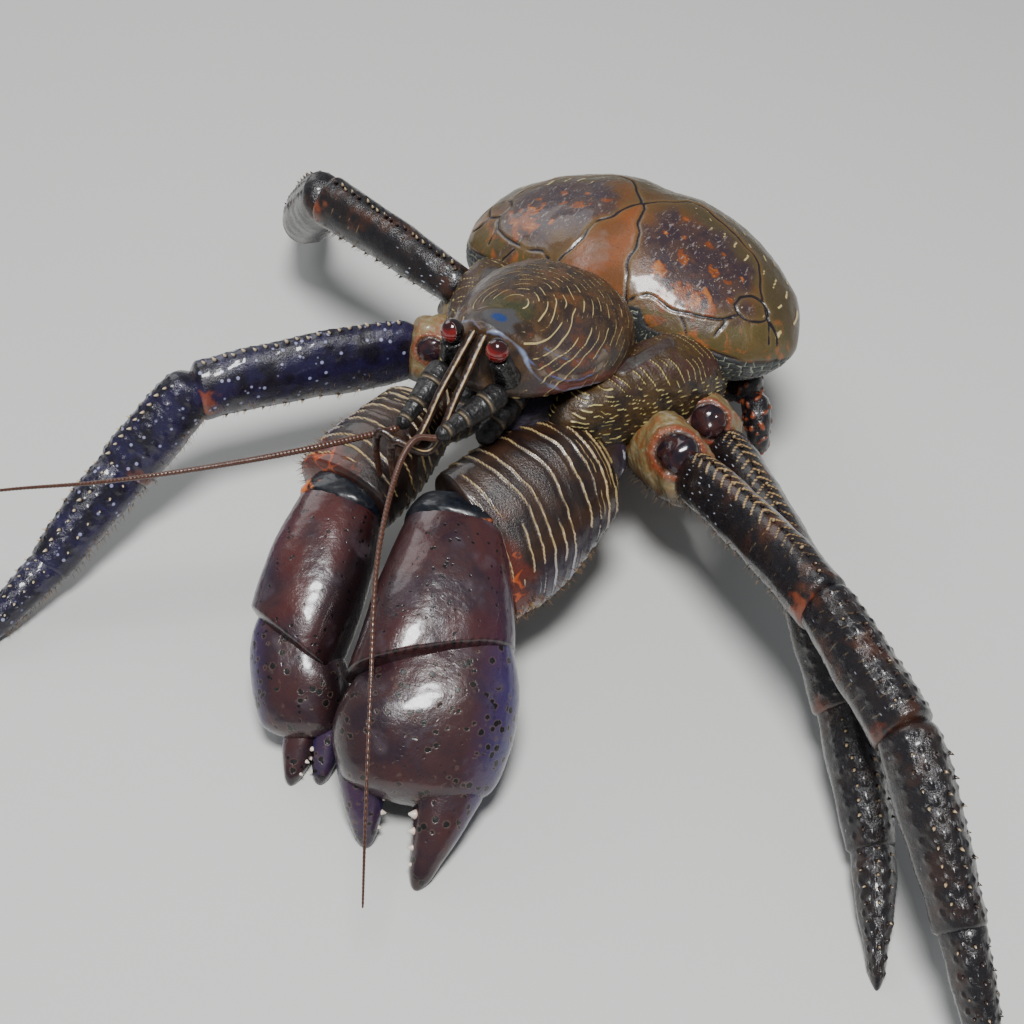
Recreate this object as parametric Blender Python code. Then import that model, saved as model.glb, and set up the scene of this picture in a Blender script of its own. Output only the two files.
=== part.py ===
"""Coconut crab, a still life-size model resting with both great claws on the ground.

Metres, +Z up. The crab faces -Y and +X is its left side. The origin is the
middle of the flat under the folded abdomen, on the floor.
"""
import math
import random

import bmesh
import bpy
from mathutils import Matrix, Vector
from mathutils.bvhtree import BVHTree

MM = 0.001
GAP = 0.0003
CLEAR_SHARE = 1.2
SEED = 17
WELD = 0.00002

# The carapace is pitched nose up about the tip of the rostrum
ROSTRUM_TIP = Vector((0.0, -0.110, 0.118))
BODY_PITCH = math.radians(16.0)

# Facet counts
LIMB_SIDES = 10
LIMB_RINGS = 8
CLAW_SIDES = 14
SHELL_SIDES = 20
SHELL_RINGS = 12
CAP_STEPS = 3


def wipe():
    for thing in list(bpy.data.objects):
        bpy.data.objects.remove(thing, do_unlink=True)


wipe()
crab = bpy.data.collections.new("coconut_crab")
bpy.context.scene.collection.children.link(crab)
cutters = bpy.data.collections.new("cutters")
bpy.context.scene.collection.children.link(cutters)
materials = {}
nodes = {}


def paint(name, colour, roughness):
    mat = bpy.data.materials.new(name)
    mat.use_nodes = True
    shader = mat.node_tree.nodes["Principled BSDF"]
    shader.inputs["Base Color"].default_value = (*colour, 1.0)
    shader.inputs["Roughness"].default_value = roughness
    shader.inputs["Metallic"].default_value = 0.0
    mat.diffuse_color = (*colour, 1.0)
    materials[name] = mat
    return mat


def body(x, y, z):
    """A place given on the carapace, in millimetres left, back and up from the rostrum tip."""
    turned = Matrix.Rotation(-BODY_PITCH, 3, "X") @ Vector((x, y, z))
    return ROSTRUM_TIP + turned * MM


def smooth(stations, at):
    """The station sizes at one fraction of the length, on a smooth curve through the stations."""
    last = len(stations) - 1
    i = 0
    while i < last - 1 and at > stations[i + 1][0]:
        i += 1
    a, b = stations[i], stations[i + 1]
    span = b[0] - a[0]
    u = min(max((at - a[0]) / span, 0.0), 1.0)
    before = stations[i - 1] if i > 0 else a
    after = stations[i + 2] if i + 2 <= last else b
    sizes = []
    for k in range(1, len(a)):
        slope_a = (b[k] - before[k]) / (b[0] - before[0])
        slope_b = (after[k] - a[k]) / (after[0] - a[0])
        h00 = 2 * u ** 3 - 3 * u ** 2 + 1
        h10 = u ** 3 - 2 * u ** 2 + u
        h01 = -2 * u ** 3 + 3 * u ** 2
        h11 = u ** 3 - u ** 2
        sizes.append(h00 * a[k] + h10 * span * slope_a + h01 * b[k] + h11 * span * slope_b)
    return sizes


def ring_place(ring, rings, cap_a, cap_b):
    """Fraction of the length and share of the full section, for rounded ends."""
    if ring < CAP_STEPS:
        turn = math.pi / 2 * ring / CAP_STEPS
        return cap_a * (1 - math.cos(turn)), math.sin(turn)
    if ring > rings - CAP_STEPS:
        turn = math.pi / 2 * (rings - ring) / CAP_STEPS
        return 1 - cap_b * (1 - math.cos(turn)), math.sin(turn)
    return cap_a + (1 - cap_a - cap_b) * (ring - CAP_STEPS) / (rings - 2 * CAP_STEPS), 1.0


def outwards(bm):
    """Turn every face of a closed shell outwards."""
    bm.normal_update()
    bmesh.ops.recalc_face_normals(bm, faces=bm.faces)
    if bm.calc_volume(signed=True) < 0:
        bmesh.ops.reverse_faces(bm, faces=bm.faces)
    bm.normal_update()


def rounded(value, power):
    return math.copysign(abs(value) ** (2.0 / power), value)


def finish(name, mesh, slot):
    mesh.materials.clear()
    mesh.materials.append(materials[slot])
    ob = bpy.data.objects.new(name, mesh)
    crab.objects.link(ob)
    for face in mesh.polygons:
        face.use_smooth = True
    nodes[name] = ob
    return ob


def loft(name, slot, base, tip, dorsal, stations, sides=LIMB_SIDES, rings=LIMB_RINGS,
         caps=(0.12, 0.12), power=2.3, keel=0.0, slant=(0.0, 0.0)):
    """A closed shell along a line from base to tip.

    Each station is a fraction of the length, half width, height above and depth below
    the line, shift to the side and lift, in millimetres. The slant is how far each end
    leans along the line, as a share of the distance to the side.
    """
    base = Vector(base)
    tip = Vector(tip)
    along = tip - base
    length = along.length
    along.normalize()
    side = along.cross(Vector(dorsal)).normalized()
    up = side.cross(along)
    bm = bmesh.new()
    bmesh.ops.create_uvsphere(bm, u_segments=sides, v_segments=rings, radius=1.0)
    for v in bm.verts:
        polar = math.acos(min(max(v.co.z, -1.0), 1.0))
        turn = math.atan2(v.co.y, v.co.x)
        ring = int(round(polar / math.pi * rings))
        at, share = ring_place(ring, rings, *caps)
        half, top, low, shift, lift = smooth(stations, at)
        if ring in (0, rings):
            across, high = 0.0, 0.0
        else:
            across = rounded(math.cos(turn), power)
            high = rounded(math.sin(turn), power)
        across *= 1.0 - keel * max(high, 0.0)
        rise = (top if high > 0 else low) * high * share + lift
        lean = (slant[0] * (1 - at) + slant[1] * at) * across * half * share * MM
        v.co = base + along * (at * length + lean) + side * ((across * half * share + shift) * MM)
        v.co += up * (rise * MM)
    outwards(bm)
    mesh = bpy.data.meshes.new(name)
    bm.to_mesh(mesh)
    bm.free()
    return finish(name, mesh, slot)


def ball(name, slot, centre, radii, along=(0, 0, 1), sides=12, rings=8):
    """An ellipsoid with its third radius laid along the given line."""
    bm = bmesh.new()
    bmesh.ops.create_uvsphere(bm, u_segments=sides, v_segments=rings, radius=1.0)
    turn = Vector((0, 0, 1)).rotation_difference(Vector(along)).to_matrix()
    for v in bm.verts:
        v.co = Vector(centre) + turn @ Vector([v.co[k] * radii[k] * MM for k in range(3)])
    mesh = bpy.data.meshes.new(name)
    bm.to_mesh(mesh)
    bm.free()
    return finish(name, mesh, slot)


def wire(name, slot, points, radii, sides=6):
    """A round feeler through the points, its radii in millimetres."""
    curve = bpy.data.curves.new(name, "CURVE")
    curve.dimensions = "3D"
    curve.bevel_depth = MM
    curve.bevel_resolution = (sides - 4) // 2
    curve.use_fill_caps = True
    spline = curve.splines.new("POLY")
    spline.points.add(len(points) - 1)
    for k, point in enumerate(points):
        spline.points[k].co = (*point, 1.0)
        spline.points[k].radius = radii[k]
    tube = bpy.data.objects.new(name + "_line", curve)
    crab.objects.link(tube)
    bpy.context.view_layer.update()
    shown = tube.evaluated_get(bpy.context.evaluated_depsgraph_get())
    mesh = bpy.data.meshes.new_from_object(shown)
    mesh.name = name
    bpy.data.objects.remove(tube, do_unlink=True)
    bm = bmesh.new()
    bm.from_mesh(mesh)
    bmesh.ops.remove_doubles(bm, verts=bm.verts, dist=WELD)
    outwards(bm)
    bm.to_mesh(mesh)
    bm.free()
    return finish(name, mesh, slot)


def through(points, steps):
    """Points on a smooth curve through the given ones."""
    knots = [(k / (len(points) - 1), *p) for k, p in enumerate(points)]
    return [Vector(smooth(knots, k / steps)) for k in range(steps + 1)]


def volume_of(group):
    """Volume inside one closed group of corners."""
    total = 0.0
    for face in {f for v in group for f in v.link_faces}:
        first = face.verts[0].co
        for k in range(1, len(face.verts) - 1):
            total += first.dot(face.verts[k].co.cross(face.verts[k + 1].co))
    return total


def largest(ob):
    """Keep only the largest closed surface of a node."""
    bm = bmesh.new()
    bm.from_mesh(ob.data)
    left = set(bm.verts)
    groups = []
    while left:
        start = left.pop()
        group = {start}
        edge_of = [start]
        while edge_of:
            v = edge_of.pop()
            for e in v.link_edges:
                w = e.other_vert(v)
                if w not in group:
                    group.add(w)
                    left.discard(w)
                    edge_of.append(w)
        groups.append(group)
    if len(groups) > 1:
        groups.sort(key=volume_of, reverse=True)
        for group in groups[1:]:
            bmesh.ops.delete(bm, geom=list(group), context="VERTS")
    bm.to_mesh(ob.data)
    bm.free()


def apply_boolean(ob, operation, tool=None, tools=None, solver="EXACT"):
    mod = ob.modifiers.new("join", "BOOLEAN")
    mod.operation = operation
    mod.solver = solver
    if tools is not None:
        mod.operand_type = "COLLECTION"
        mod.collection = tools
    else:
        mod.object = tool
    bpy.context.view_layer.update()
    shown = ob.evaluated_get(bpy.context.evaluated_depsgraph_get())
    mesh = bpy.data.meshes.new_from_object(shown)
    ob.modifiers.clear()
    old = ob.data
    ob.data = mesh
    mesh.name = ob.name
    bpy.data.meshes.remove(old)


def swollen(ob, amount):
    """A copy of a node grown outwards on every side, used to cut its neighbour."""
    bm = bmesh.new()
    bm.from_mesh(ob.data)
    bm.normal_update()
    moves = [(v, v.normal * amount) for v in bm.verts]
    for v, move in moves:
        v.co += move
    mesh = bpy.data.meshes.new(ob.name + "_swollen")
    bm.to_mesh(mesh)
    bm.free()
    tool = bpy.data.objects.new(ob.name + "_swollen", mesh)
    cutters.objects.link(tool)
    tool.hide_render = True
    tool.display_type = "WIRE"
    return tool


def clear(name, *others):
    """Cut a node back so it stands a gap off each of the others."""
    ob = nodes[name]
    for other in others:
        tool = swollen(nodes[other], GAP * CLEAR_SHARE)
        apply_boolean(ob, "DIFFERENCE", tool, solver="MANIFOLD")
        bpy.data.objects.remove(tool, do_unlink=True)
    largest(ob)


def merge(name, pieces):
    """Join pieces to a node as one closed body."""
    tools = bpy.data.collections.new(name + "_pieces")
    bpy.context.scene.collection.children.link(tools)
    for piece in pieces:
        nodes.pop(piece.name, None)
        crab.objects.unlink(piece)
        tools.objects.link(piece)
    apply_boolean(nodes[name], "UNION", tools=tools)
    for piece in pieces:
        bpy.data.objects.remove(piece, do_unlink=True)
    bpy.data.collections.remove(tools)
    largest(nodes[name])


def block(name, corners):
    """A convex block through the given corners, used to cut or keep part of a node."""
    bm = bmesh.new()
    for corner in corners:
        bm.verts.new(corner)
    bmesh.ops.convex_hull(bm, input=bm.verts)
    loose = [v for v in bm.verts if not v.link_faces]
    bmesh.ops.delete(bm, geom=loose, context="VERTS")
    outwards(bm)
    mesh = bpy.data.meshes.new(name)
    bm.to_mesh(mesh)
    bm.free()
    tool = bpy.data.objects.new(name, mesh)
    cutters.objects.link(tool)
    tool.hide_render = True
    tool.display_type = "WIRE"
    return tool


def copy_node(source, name):
    twin = nodes[source].copy()
    twin.data = nodes[source].data.copy()
    twin.name = name
    twin.data.name = name
    crab.objects.link(twin)
    nodes[name] = twin
    return twin


def reach_of(ob):
    points = [v.co for v in ob.data.vertices]
    low = [min(p[k] for p in points) - GAP for k in range(3)]
    high = [max(p[k] for p in points) + GAP for k in range(3)]
    return low, high


def near(a, b):
    low_a, high_a = reach_of(a)
    low_b, high_b = reach_of(b)
    return all(low_a[k] < high_b[k] and low_b[k] < high_a[k] for k in range(3))


# Materials, by colour from the photo
paint("carapace", (0.14, 0.085, 0.045), 0.32)
paint("dome", (0.20, 0.095, 0.035), 0.28)
paint("flank", (0.22, 0.15, 0.06), 0.45)
paint("underside", (0.30, 0.17, 0.10), 0.6)
paint("abdomen", (0.16, 0.10, 0.09), 0.5)
paint("claw", (0.10, 0.035, 0.04), 0.3)
paint("claw_merus", (0.11, 0.055, 0.035), 0.35)
paint("leg", (0.035, 0.025, 0.045), 0.3)
paint("leg_blue", (0.05, 0.04, 0.16), 0.3)
paint("joint", (0.55, 0.20, 0.06), 0.5)
paint("feeler", (0.07, 0.035, 0.025), 0.4)
paint("eye", (0.28, 0.02, 0.015), 0.1)

# Carapace: the front shield
loft("carapace_shield", "carapace", body(0, -1, -20), body(0, 72.5, -20), (0, 0, 1), [
    (0.00, 5, 20, 5, 0, 0),
    (0.07, 13, 21, 6, 0, 0),
    (0.23, 22, 22, 8, 0, 0),
    (0.50, 29.5, 25, 9, 0, 0),
    (0.74, 30.5, 24.5, 9, 0, 0),
    (0.90, 26.5, 21, 8, 0, 0),
    (1.00, 18, 15, 6, 0, 0)],
    sides=SHELL_SIDES, rings=SHELL_RINGS, caps=(0.05, 0.10), power=2.2)

# Carapace: the great branchial dome, parted by its sutures into two sides and a middle wedge
DOME_HALF_WIDTH = 70.5
DOME = [
    (0.00, 39, 35, 12, 0, 0),
    (0.20, 40, 35, 12, 0, 0),
    (0.42, 38, 30, 11, 1, 0),
    (0.65, 32, 24, 9, 0, 0),
    (0.85, 23, 16, 8, -1, 0),
    (1.00, 14, 9, 6, -2, -1)]
across = [((1 - a) / 2, *sizes) for a, *sizes in reversed(DOME)]
across += [((1 + a) / 2, *sizes) for a, *sizes in DOME[1:]]
dome = loft("dome_whole", "dome", body(DOME_HALF_WIDTH, 111, -20), body(-DOME_HALF_WIDTH, 111, -20),
            (0, 0, 1), across, sides=20, rings=18, caps=(0.08, 0.08), power=2.3)
HEART_OUTLINE = ((22, 54), (12.5, 83), (1.2, 107))
HEART_Z = (-60, 40)
wedge = block("heart_wedge", [body(x * side, y, z) for z in HEART_Z for side in (1, -1)
                              for x, y in HEART_OUTLINE])
heart = copy_node("dome_whole", "carapace_heart")
apply_boolean(heart, "INTERSECT", wedge)
grown = swollen(wedge, GAP * CLEAR_SHARE)
# A block that holds one half of the dome, half a gap off the middle
HALF_X = (0.15, 90)
HALF_Y = (20, 190)
HALF_Z = (-90, 60)
for side, word in ((1, "left"), (-1, "right")):
    half = copy_node("dome_whole", "carapace_dome_" + word)
    apply_boolean(half, "DIFFERENCE", grown)
    keep = block("keep_" + word, [body(x * side, y, z) for z in HALF_Z for y in HALF_Y for x in HALF_X])
    apply_boolean(half, "INTERSECT", keep)
    largest(half)
nodes.pop("dome_whole")
bpy.data.objects.remove(dome, do_unlink=True)

for side, word in ((1, "left"), (-1, "right")):
    loft("carapace_flank_" + word, "flank", body(20 * side, 24, -38), body(48 * side, 100, -36),
         (0, 0, 1), [
        (0.00, 8, 9, 10, 0, 0),
        (0.30, 12, 16, 15, 0, 0),
        (0.65, 15, 22, 16, 0, 0),
        (1.00, 10, 14, 12, 0, 0)], caps=(0.15, 0.15), power=2.3)

# Thorax, hung under the carapace between the legs
loft("thorax", "underside", body(0, 14, -44), body(0, 142, -34), (0, 0, 1), [
    (0.00, 14, 8, 8, 0, 0),
    (0.20, 24, 12, 18, 0, 0),
    (0.60, 34, 14, 18, 0, 0),
    (0.85, 34, 14, 12, 0, 0),
    (1.00, 26, 8, 8, 0, 0)], sides=10, rings=8, caps=(0.1, 0.1), power=2.6)

# Abdomen, folded under behind the carapace, and its plates over the back
BELLY = [
    (0.00, 24, 12, 14, 0, 0),
    (0.15, 36, 24, 28, 0, 0),
    (0.40, 40, 26, 31, 0, 0),
    (0.70, 38, 17, 26, 0, 0),
    (0.90, 30, 10, 21, 0, 0),
    (1.00, 22, 6, 13, 0, 0)]
BELLY_ENDS = ((0, 0.058, 0.030), (0, -0.036, 0.014))
PLATE = 2.4
loft("abdomen_belly", "abdomen", *BELLY_ENDS, (0, 0, 1), BELLY, sides=18, rings=12,
     caps=(0.2, 0.15), power=2.3)
loft("abdomen_tail", "abdomen", (0, -0.028, 0.011), (0, -0.060, 0.007), (0, 0, 1), [
    (0.00, 15, 5, 5, 0, 0),
    (0.50, 18, 4, 4, 0, 0),
    (1.00, 12, 2.5, 2.5, 0, 0)], sides=12, rings=8, caps=(0.15, 0.15), power=2.4)
TERGITE_PIVOT = Vector((0, 0.012, 0.030))
TERGITES = ((70, 99), (42, 69), (14, 41), (-16, 13))
TERGITE_HALF_WIDTH = 0.031
TERGITE_NARROWING = 0.002
SLAB_REACH = 0.12
for k, (low, high) in enumerate(TERGITES):
    name = "abdomen_tergite_" + str(k + 2)
    thick = [(a, h + PLATE, t + PLATE, b + PLATE, sh, li) for a, h, t, b, sh, li in BELLY]
    ends = (Vector(BELLY_ENDS[0]) + Vector((0, PLATE * MM, 0)), BELLY_ENDS[1])
    plate = loft(name, "abdomen", *ends, (0, 0, 1), thick, sides=18, rings=12,
                 caps=(0.2, 0.15), power=2.3)
    half = TERGITE_HALF_WIDTH - TERGITE_NARROWING * k
    corners = []
    for x in (-half, half):
        corners.append(TERGITE_PIVOT + Vector((x, 0, 0)))
        for angle in (low, (low + high) / 2, high):
            turn = math.radians(angle)
            reach = Vector((x, math.cos(turn) * SLAB_REACH, math.sin(turn) * SLAB_REACH))
            corners.append(TERGITE_PIVOT + reach)
    slab = block("slab", corners)
    apply_boolean(plate, "INTERSECT", slab)
    bpy.data.objects.remove(slab, do_unlink=True)

# Eyes on their stalks
for side, word in ((1, "left"), (-1, "right")):
    loft("eye_stalk_" + word, "feeler", body(11 * side, 4, -18), body(9.4 * side, -2.5, -7), (0, 1, 0), [
        (0.00, 5.0, 5.0, 5.0, 0, 0),
        (0.50, 4.2, 4.2, 4.2, 0, 0),
        (1.00, 3.7, 3.7, 3.7, 0, 0)], sides=10, rings=7, caps=(0.15, 0.1), power=2.0)
    ball("eye_" + word, "eye", body(9.0 * side, -3.9, -3.6), (3.9, 3.9, 4.2), sides=10, rings=8)

# Feelers
FEELERS = {
    "left": {
        "antennule": [(2.1, -112, 117), (3.0, -130, 104), (3.2, -146, 92),
                      (-6, -152, 96), (-8, -153, 88), (-8, -152, 74)],
        "peduncle": [(12, -116, 100), (8, -130, 100), (6, -146, 99)],
        "flagellum": [(6, -146, 99), (1, -152, 100), (5, -168, 98), (20, -198, 94),
                      (40, -229, 82), (58, -258, 60), (66, -272, 40)]},
    "right": {
        "antennule": [(-2.1, -112, 117), (-3.0, -130, 104), (-3.4, -147, 92),
                      (-13, -151, 96), (-15, -152, 88), (-15, -151, 74)],
        "peduncle": [(-12, -116, 100), (-9, -130, 97), (-11, -144, 93)],
        "flagellum": [(-11, -144, 93), (-28, -174, 98), (-49, -199, 99),
                      (-75, -219, 95), (-105, -235, 88), (-140, -250, 74)]},
}
for word, runs in FEELERS.items():
    for kind, steps, thick in (("antennule", 12, (1.6, 0.9)), ("flagellum", 20, (1.2, 0.35))):
        points = [p * MM for p in through(runs[kind], steps)]
        sizes = [thick[0] + (thick[1] - thick[0]) * k / steps for k in range(steps + 1)]
        wire("antennule_" + word if kind == "antennule" else "antenna_flagellum_" + word,
             "feeler", points, sizes)
    a, b, c = [Vector(p) * MM for p in runs["peduncle"]]
    loft("antenna_peduncle_" + word, "feeler", a, c, (0, 0, 1), [
        (0.00, 4.6, 4.6, 4.6, 0, 0),
        (0.35, 4.4, 4.0, 4.0, 0, 0),
        (0.70, 3.0, 3.0, 3.0, 0, 0),
        (1.00, 2.4, 2.4, 2.4, 0, 0)], sides=10, rings=8, caps=(0.12, 0.1), power=2.0)

# Mouthparts
for side, word in ((1, "left"), (-1, "right")):
    loft("maxilliped_" + word, "claw_merus", (0.0065 * side, -0.094, 0.086), (0.0055 * side, -0.121, 0.076),
         (0, -1, 1), [
        (0.00, 5.5, 5, 5, 0, 0),
        (0.40, 5.5, 5, 5, 0, 0),
        (0.80, 4, 4, 4, 0, 0),
        (1.00, 3, 3, 3, 0, 0)], sides=10, rings=8, caps=(0.12, 0.12))

# Great claws
CLAWS = {
    "left": {
        "coxa": ((0.018, -0.074, 0.050), (0.034, -0.090, 0.054), (0, 0, 1), (
            (0.0, 12, 12, 12, 0, 0), (0.5, 13, 14, 13, 0, 0), (1.0, 12, 13, 13, 0, 0))),
        "merus": ((0.036, -0.086, 0.054), (0.012, -0.143, 0.052), (0.58, -0.30, 0.74), (
            (0.0, 16, 14, 14, 1, 0), (0.25, 23, 18, 18, 1, 0),
            (0.6, 28.5, 19, 20, -3, 0), (1.0, 28.5, 17, 19, -6, 0))),
        "carpus": ((0.009, -0.134, 0.055), (0.0305, -0.1885, 0.0383), (0.40, -0.50, 0.76), (
            (0.0, 15, 14, 13, 2, 0), (0.2, 19, 19, 17, 2, 0),
            (0.5, 22.5, 22, 20, 1.5, 0), (0.8, 25.5, 22, 20, 0.5, 0),
            (1.0, 27, 20, 19, 0, 0))),
        "palm": ((0.0285, -0.179, 0.042), (0.046, -0.221, 0.012), (0.45, -0.47, 0.76), (
            (0.0, 22, 15, 15, 1, 0), (0.15, 26, 17.5, 17, 1, 0),
            (0.42, 30, 20.5, 20, 0.5, 0), (0.75, 27.5, 18, 16, 0, 0),
            (1.0, 20, 12, 11, 0, 0))),
        "fixed": ((0.052, -0.206, 0.018), (0.060, -0.240, 0.000), (0.45, -0.47, 0.76), (
            (0.0, 13, 12, 11, 0, 0), (0.5, 8, 9, 9, 0, 0), (1.0, 2.5, 3, 3, 0, 0))),
        "finger": ((0.020, -0.214, 0.025), (0.037, -0.236, 0.000), (0.45, -0.47, 0.76), (
            (0.0, 9, 10, 9, 0, 0), (0.5, 7.5, 9, 8, 0, 0), (1.0, 2.5, 3, 3, 0, 0))),
    },
    "right": {
        "coxa": ((-0.022, -0.084, 0.052), (-0.034, -0.104, 0.056), (0, 0, 1), (
            (0.0, 10, 10, 10, 0, 0), (0.5, 12, 13, 12, 0, 0), (1.0, 11, 13, 12, 0, 0))),
        "merus": ((-0.033, -0.098, 0.056), (-0.034, -0.151, 0.052), (-0.1, -0.30, 0.9), (
            (0.0, 13, 12, 12, 0, 0), (0.3, 16, 15, 15, 0, 0),
            (0.7, 20, 16, 16, 0, 0), (1.0, 20, 14, 15, 0, 0))),
        "carpus": ((-0.034, -0.144, 0.053), (-0.0195, -0.2005, 0.0283), (0.1, -0.50, 0.85), (
            (0.0, 12, 11, 11, 0, 0), (0.2, 15.5, 15, 15, 0, 0),
            (0.5, 18, 18, 17, 0, 0), (0.8, 18.5, 18, 17, 0, 0),
            (1.0, 17.5, 16, 15.5, 0, 0))),
        "palm": ((-0.0215, -0.193, 0.032), (-0.003, -0.219, 0.010), (0.1, -0.50, 0.85), (
            (0.0, 13, 11, 11, 0, 0), (0.2, 16, 13.5, 13.5, 0, 0),
            (0.45, 17, 14.5, 14.5, 0, 0), (0.75, 15, 12, 12, 0, 0),
            (1.0, 11, 8, 8, 0, 0))),
        "fixed": ((-0.007, -0.210, 0.012), (0.001, -0.231, 0.000), (0.1, -0.50, 0.85), (
            (0.0, 7, 7, 7, 0, 0), (0.5, 5.5, 6, 6, 0, 0), (1.0, 2, 3, 3, 0, 0))),
        "finger": ((0.002, -0.207, 0.013), (0.009, -0.225, 0.000), (0.1, -0.50, 0.85), (
            (0.0, 5, 6, 6, 0, 0), (0.5, 4.5, 5, 5, 0, 0), (1.0, 2, 3, 3, 0, 0))),
    },
}
# How far the joints between the claws' pieces lie aslant, outer side nearer the body
CLAW_SLANTS = {"carpus": (0.0, 0.42), "palm": (0.42, 0.0)}
# How much of the length the rounded ends take; blunt where the next piece comes out of it
CLAW_CAPS = {"merus": (0.15, 0.06), "carpus": (0.12, 0.05), "palm": (0.06, 0.15)}
ROUND_CAPS = (0.15, 0.15)
for word, pieces in CLAWS.items():
    for piece, (base, tip, dorsal, stations) in pieces.items():
        lean = CLAW_SLANTS.get(piece, (0.0, 0.0))
        outward = 1 if word == "left" else -1
        slot = "claw_merus" if piece in ("coxa", "merus") else "claw"
        sides = LIMB_SIDES if piece in ("coxa", "finger", "fixed") else CLAW_SIDES
        loft("claw_" + word + "_" + piece, slot, base, tip, dorsal, stations, sides=sides, rings=9,
             caps=CLAW_CAPS.get(piece, ROUND_CAPS), power=2.4, slant=(lean[0] * outward, lean[1] * outward))
    merge("claw_" + word + "_palm", [nodes["claw_" + word + "_fixed"]])

# Walking legs: joints in millimetres from the hip to the tip
LEGS = {
    "leg2_left": [(38, -62, 52), (70, -82, 62), (137.5, -117.5, 71),
                  (178.5, -144.5, 64), (217, -180, 36), (246, -207, 0)],
    "leg2_right": [(-38, -62, 52), (-60, -75, 56), (-109, -143, 60),
                   (-122, -172, 34), (-127, -213, 14), (-131, -252, 0)],
    "leg3_left": [(38, -40, 50), (67, -52, 52), (122, -96, 50),
                  (152, -121, 30), (180, -154, 12), (200, -190, 0)],
    "leg3_right": [(-40, -38, 46), (-56, -46, 67), (-125, -40, 78),
                   (-151, -24, 46), (-178, 10, 16), (-194, 50, 0)],
}
SEGMENTS = ("coxa", "merus", "carpus", "propodus", "dactylus")
SECTIONS = {
    "coxa": ((0.0, 11, 13, 13, 0, 0), (0.5, 13, 15, 15, 0, 0), (1.0, 10, 12, 13, 0, 0)),
    "merus": ((0.0, 8, 10, 11, 0, 0), (0.25, 9, 12, 12, 0, 1),
              (0.7, 9.5, 12, 12, 0, 1), (1.0, 10, 11, 12, 0, 0)),
    "carpus": ((0.0, 9, 10, 10, 0, 0), (0.4, 10, 12, 11, 0, 0), (1.0, 10.5, 12, 11, 0, 0)),
    "propodus": ((0.0, 9.5, 11, 10.5, 0, 0), (0.3, 10, 11.5, 10.5, 0, 1),
                 (0.7, 9, 10, 9.5, 0, 1), (1.0, 8, 8.5, 8.5, 0, 0)),
    "dactylus": ((0.0, 7.5, 8, 7.5, 0, 0), (0.4, 6.5, 7, 6.5, 0, 2),
                 (0.8, 3.5, 4.2, 4, 0, 1), (1.0, 1.5, 2, 2, 0, 0)),
}
# Each piece comes out of the blunt end of the one before it
JOINT_SINK = 0.006
LEG_ROUNDING = {"coxa": (4, 4), "merus": (7, 4), "carpus": (6, 3.5), "propodus": (6, 3), "dactylus": (5, 6)}
# The upper piece of each leg: share of the usual height above and depth below, and lift in millimetres
MERUS_SHAPE = {
    "leg2_left": ((1.0, 1.0, 0), (1.0, 0.8, 2), (1.0, 0.85, 2), (1.0, 1.0, 0)),
    "leg2_right": ((1.0, 1.35, 0), (1.0, 1.4, 1), (1.0, 1.15, 1), (1.0, 1.1, 0)),
    "leg3_left": ((0.65, 0.8, 0), (0.75, 0.85, 1), (0.9, 1.0, 1), (1.0, 1.0, 0)),
    "leg3_right": ((0.72, 0.72, 0), (0.72, 0.72, 1), (0.85, 0.85, 1), (1.0, 1.0, 0)),
}


def leg_sections(leg, segment):
    stations = SECTIONS[segment]
    if segment != "merus":
        return stations
    pairs = zip(stations, MERUS_SHAPE[leg])
    return tuple((at, half, top * above, low * below, shift, lift)
                 for (at, half, top, low, shift, _), (above, below, lift) in pairs)


for leg, joints in LEGS.items():
    for k, segment in enumerate(SEGMENTS):
        slot = "leg_blue" if leg == "leg2_right" else "leg"
        a = Vector(joints[k]) * MM
        b = Vector(joints[k + 1]) * MM
        a -= (b - a).normalized() * (JOINT_SINK if k else 0)
        length = (b - a).length / MM
        caps = [depth / length for depth in LEG_ROUNDING[segment]]
        loft(leg + "_" + segment, "joint" if segment == "coxa" else slot, a, b, (0, 0, 1),
             leg_sections(leg, segment), caps=caps, power=2.2, keel=0.25)

# The small fourth legs: the ends of their two pieces, left side
SMALL_MERUS = ((0.034, -0.016, 0.048), (0.064, -0.020, 0.052))
SMALL_HAND = ((0.062, -0.021, 0.052), (0.073, -0.033, 0.035))
SMALL_LEG_SIDES = ((1, "left"), (-1, "right"))


def mirrored(ends, side):
    return [(x * side, y, z) for x, y, z in ends]


for side, word in SMALL_LEG_SIDES:
    loft("leg4_" + word + "_merus", "leg", *mirrored(SMALL_MERUS, side), (0, 0, 1), [
        (0.0, 7, 7, 7, 0, 0), (0.5, 7, 7, 7, 0, 0), (1.0, 6, 6, 6, 0, 0)], caps=ROUND_CAPS)
    loft("leg4_" + word + "_hand", "leg", *mirrored(SMALL_HAND, side), (0, 0, 1), [
        (0.0, 5, 6, 6, 0, 0), (0.5, 5, 6, 6, 0, 0), (1.0, 2.5, 2.5, 2.5, 0, 0)], caps=ROUND_CAPS)

# Raised forms: spines, teeth, condyles and small plates, each sunk in the node it grows from
SPINE_SIDES = 3
SPINE_SINK = 1.3
SPINE_TIP_SHARE = 0.16
SPINE_ROOT_SHARE = 0.42
SPINE_ROOT_LEAST = 0.35
chance = random.Random(SEED)


def surface(name, start, direction):
    """Where a line from inside a node leaves it, and the way the surface faces there."""
    mesh = nodes[name].data
    tree = BVHTree.FromPolygons([v.co for v in mesh.vertices], [p.vertices for p in mesh.polygons])
    hit, normal, _, _ = tree.ray_cast(Vector(start), Vector(direction).normalized())
    return hit, normal


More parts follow.
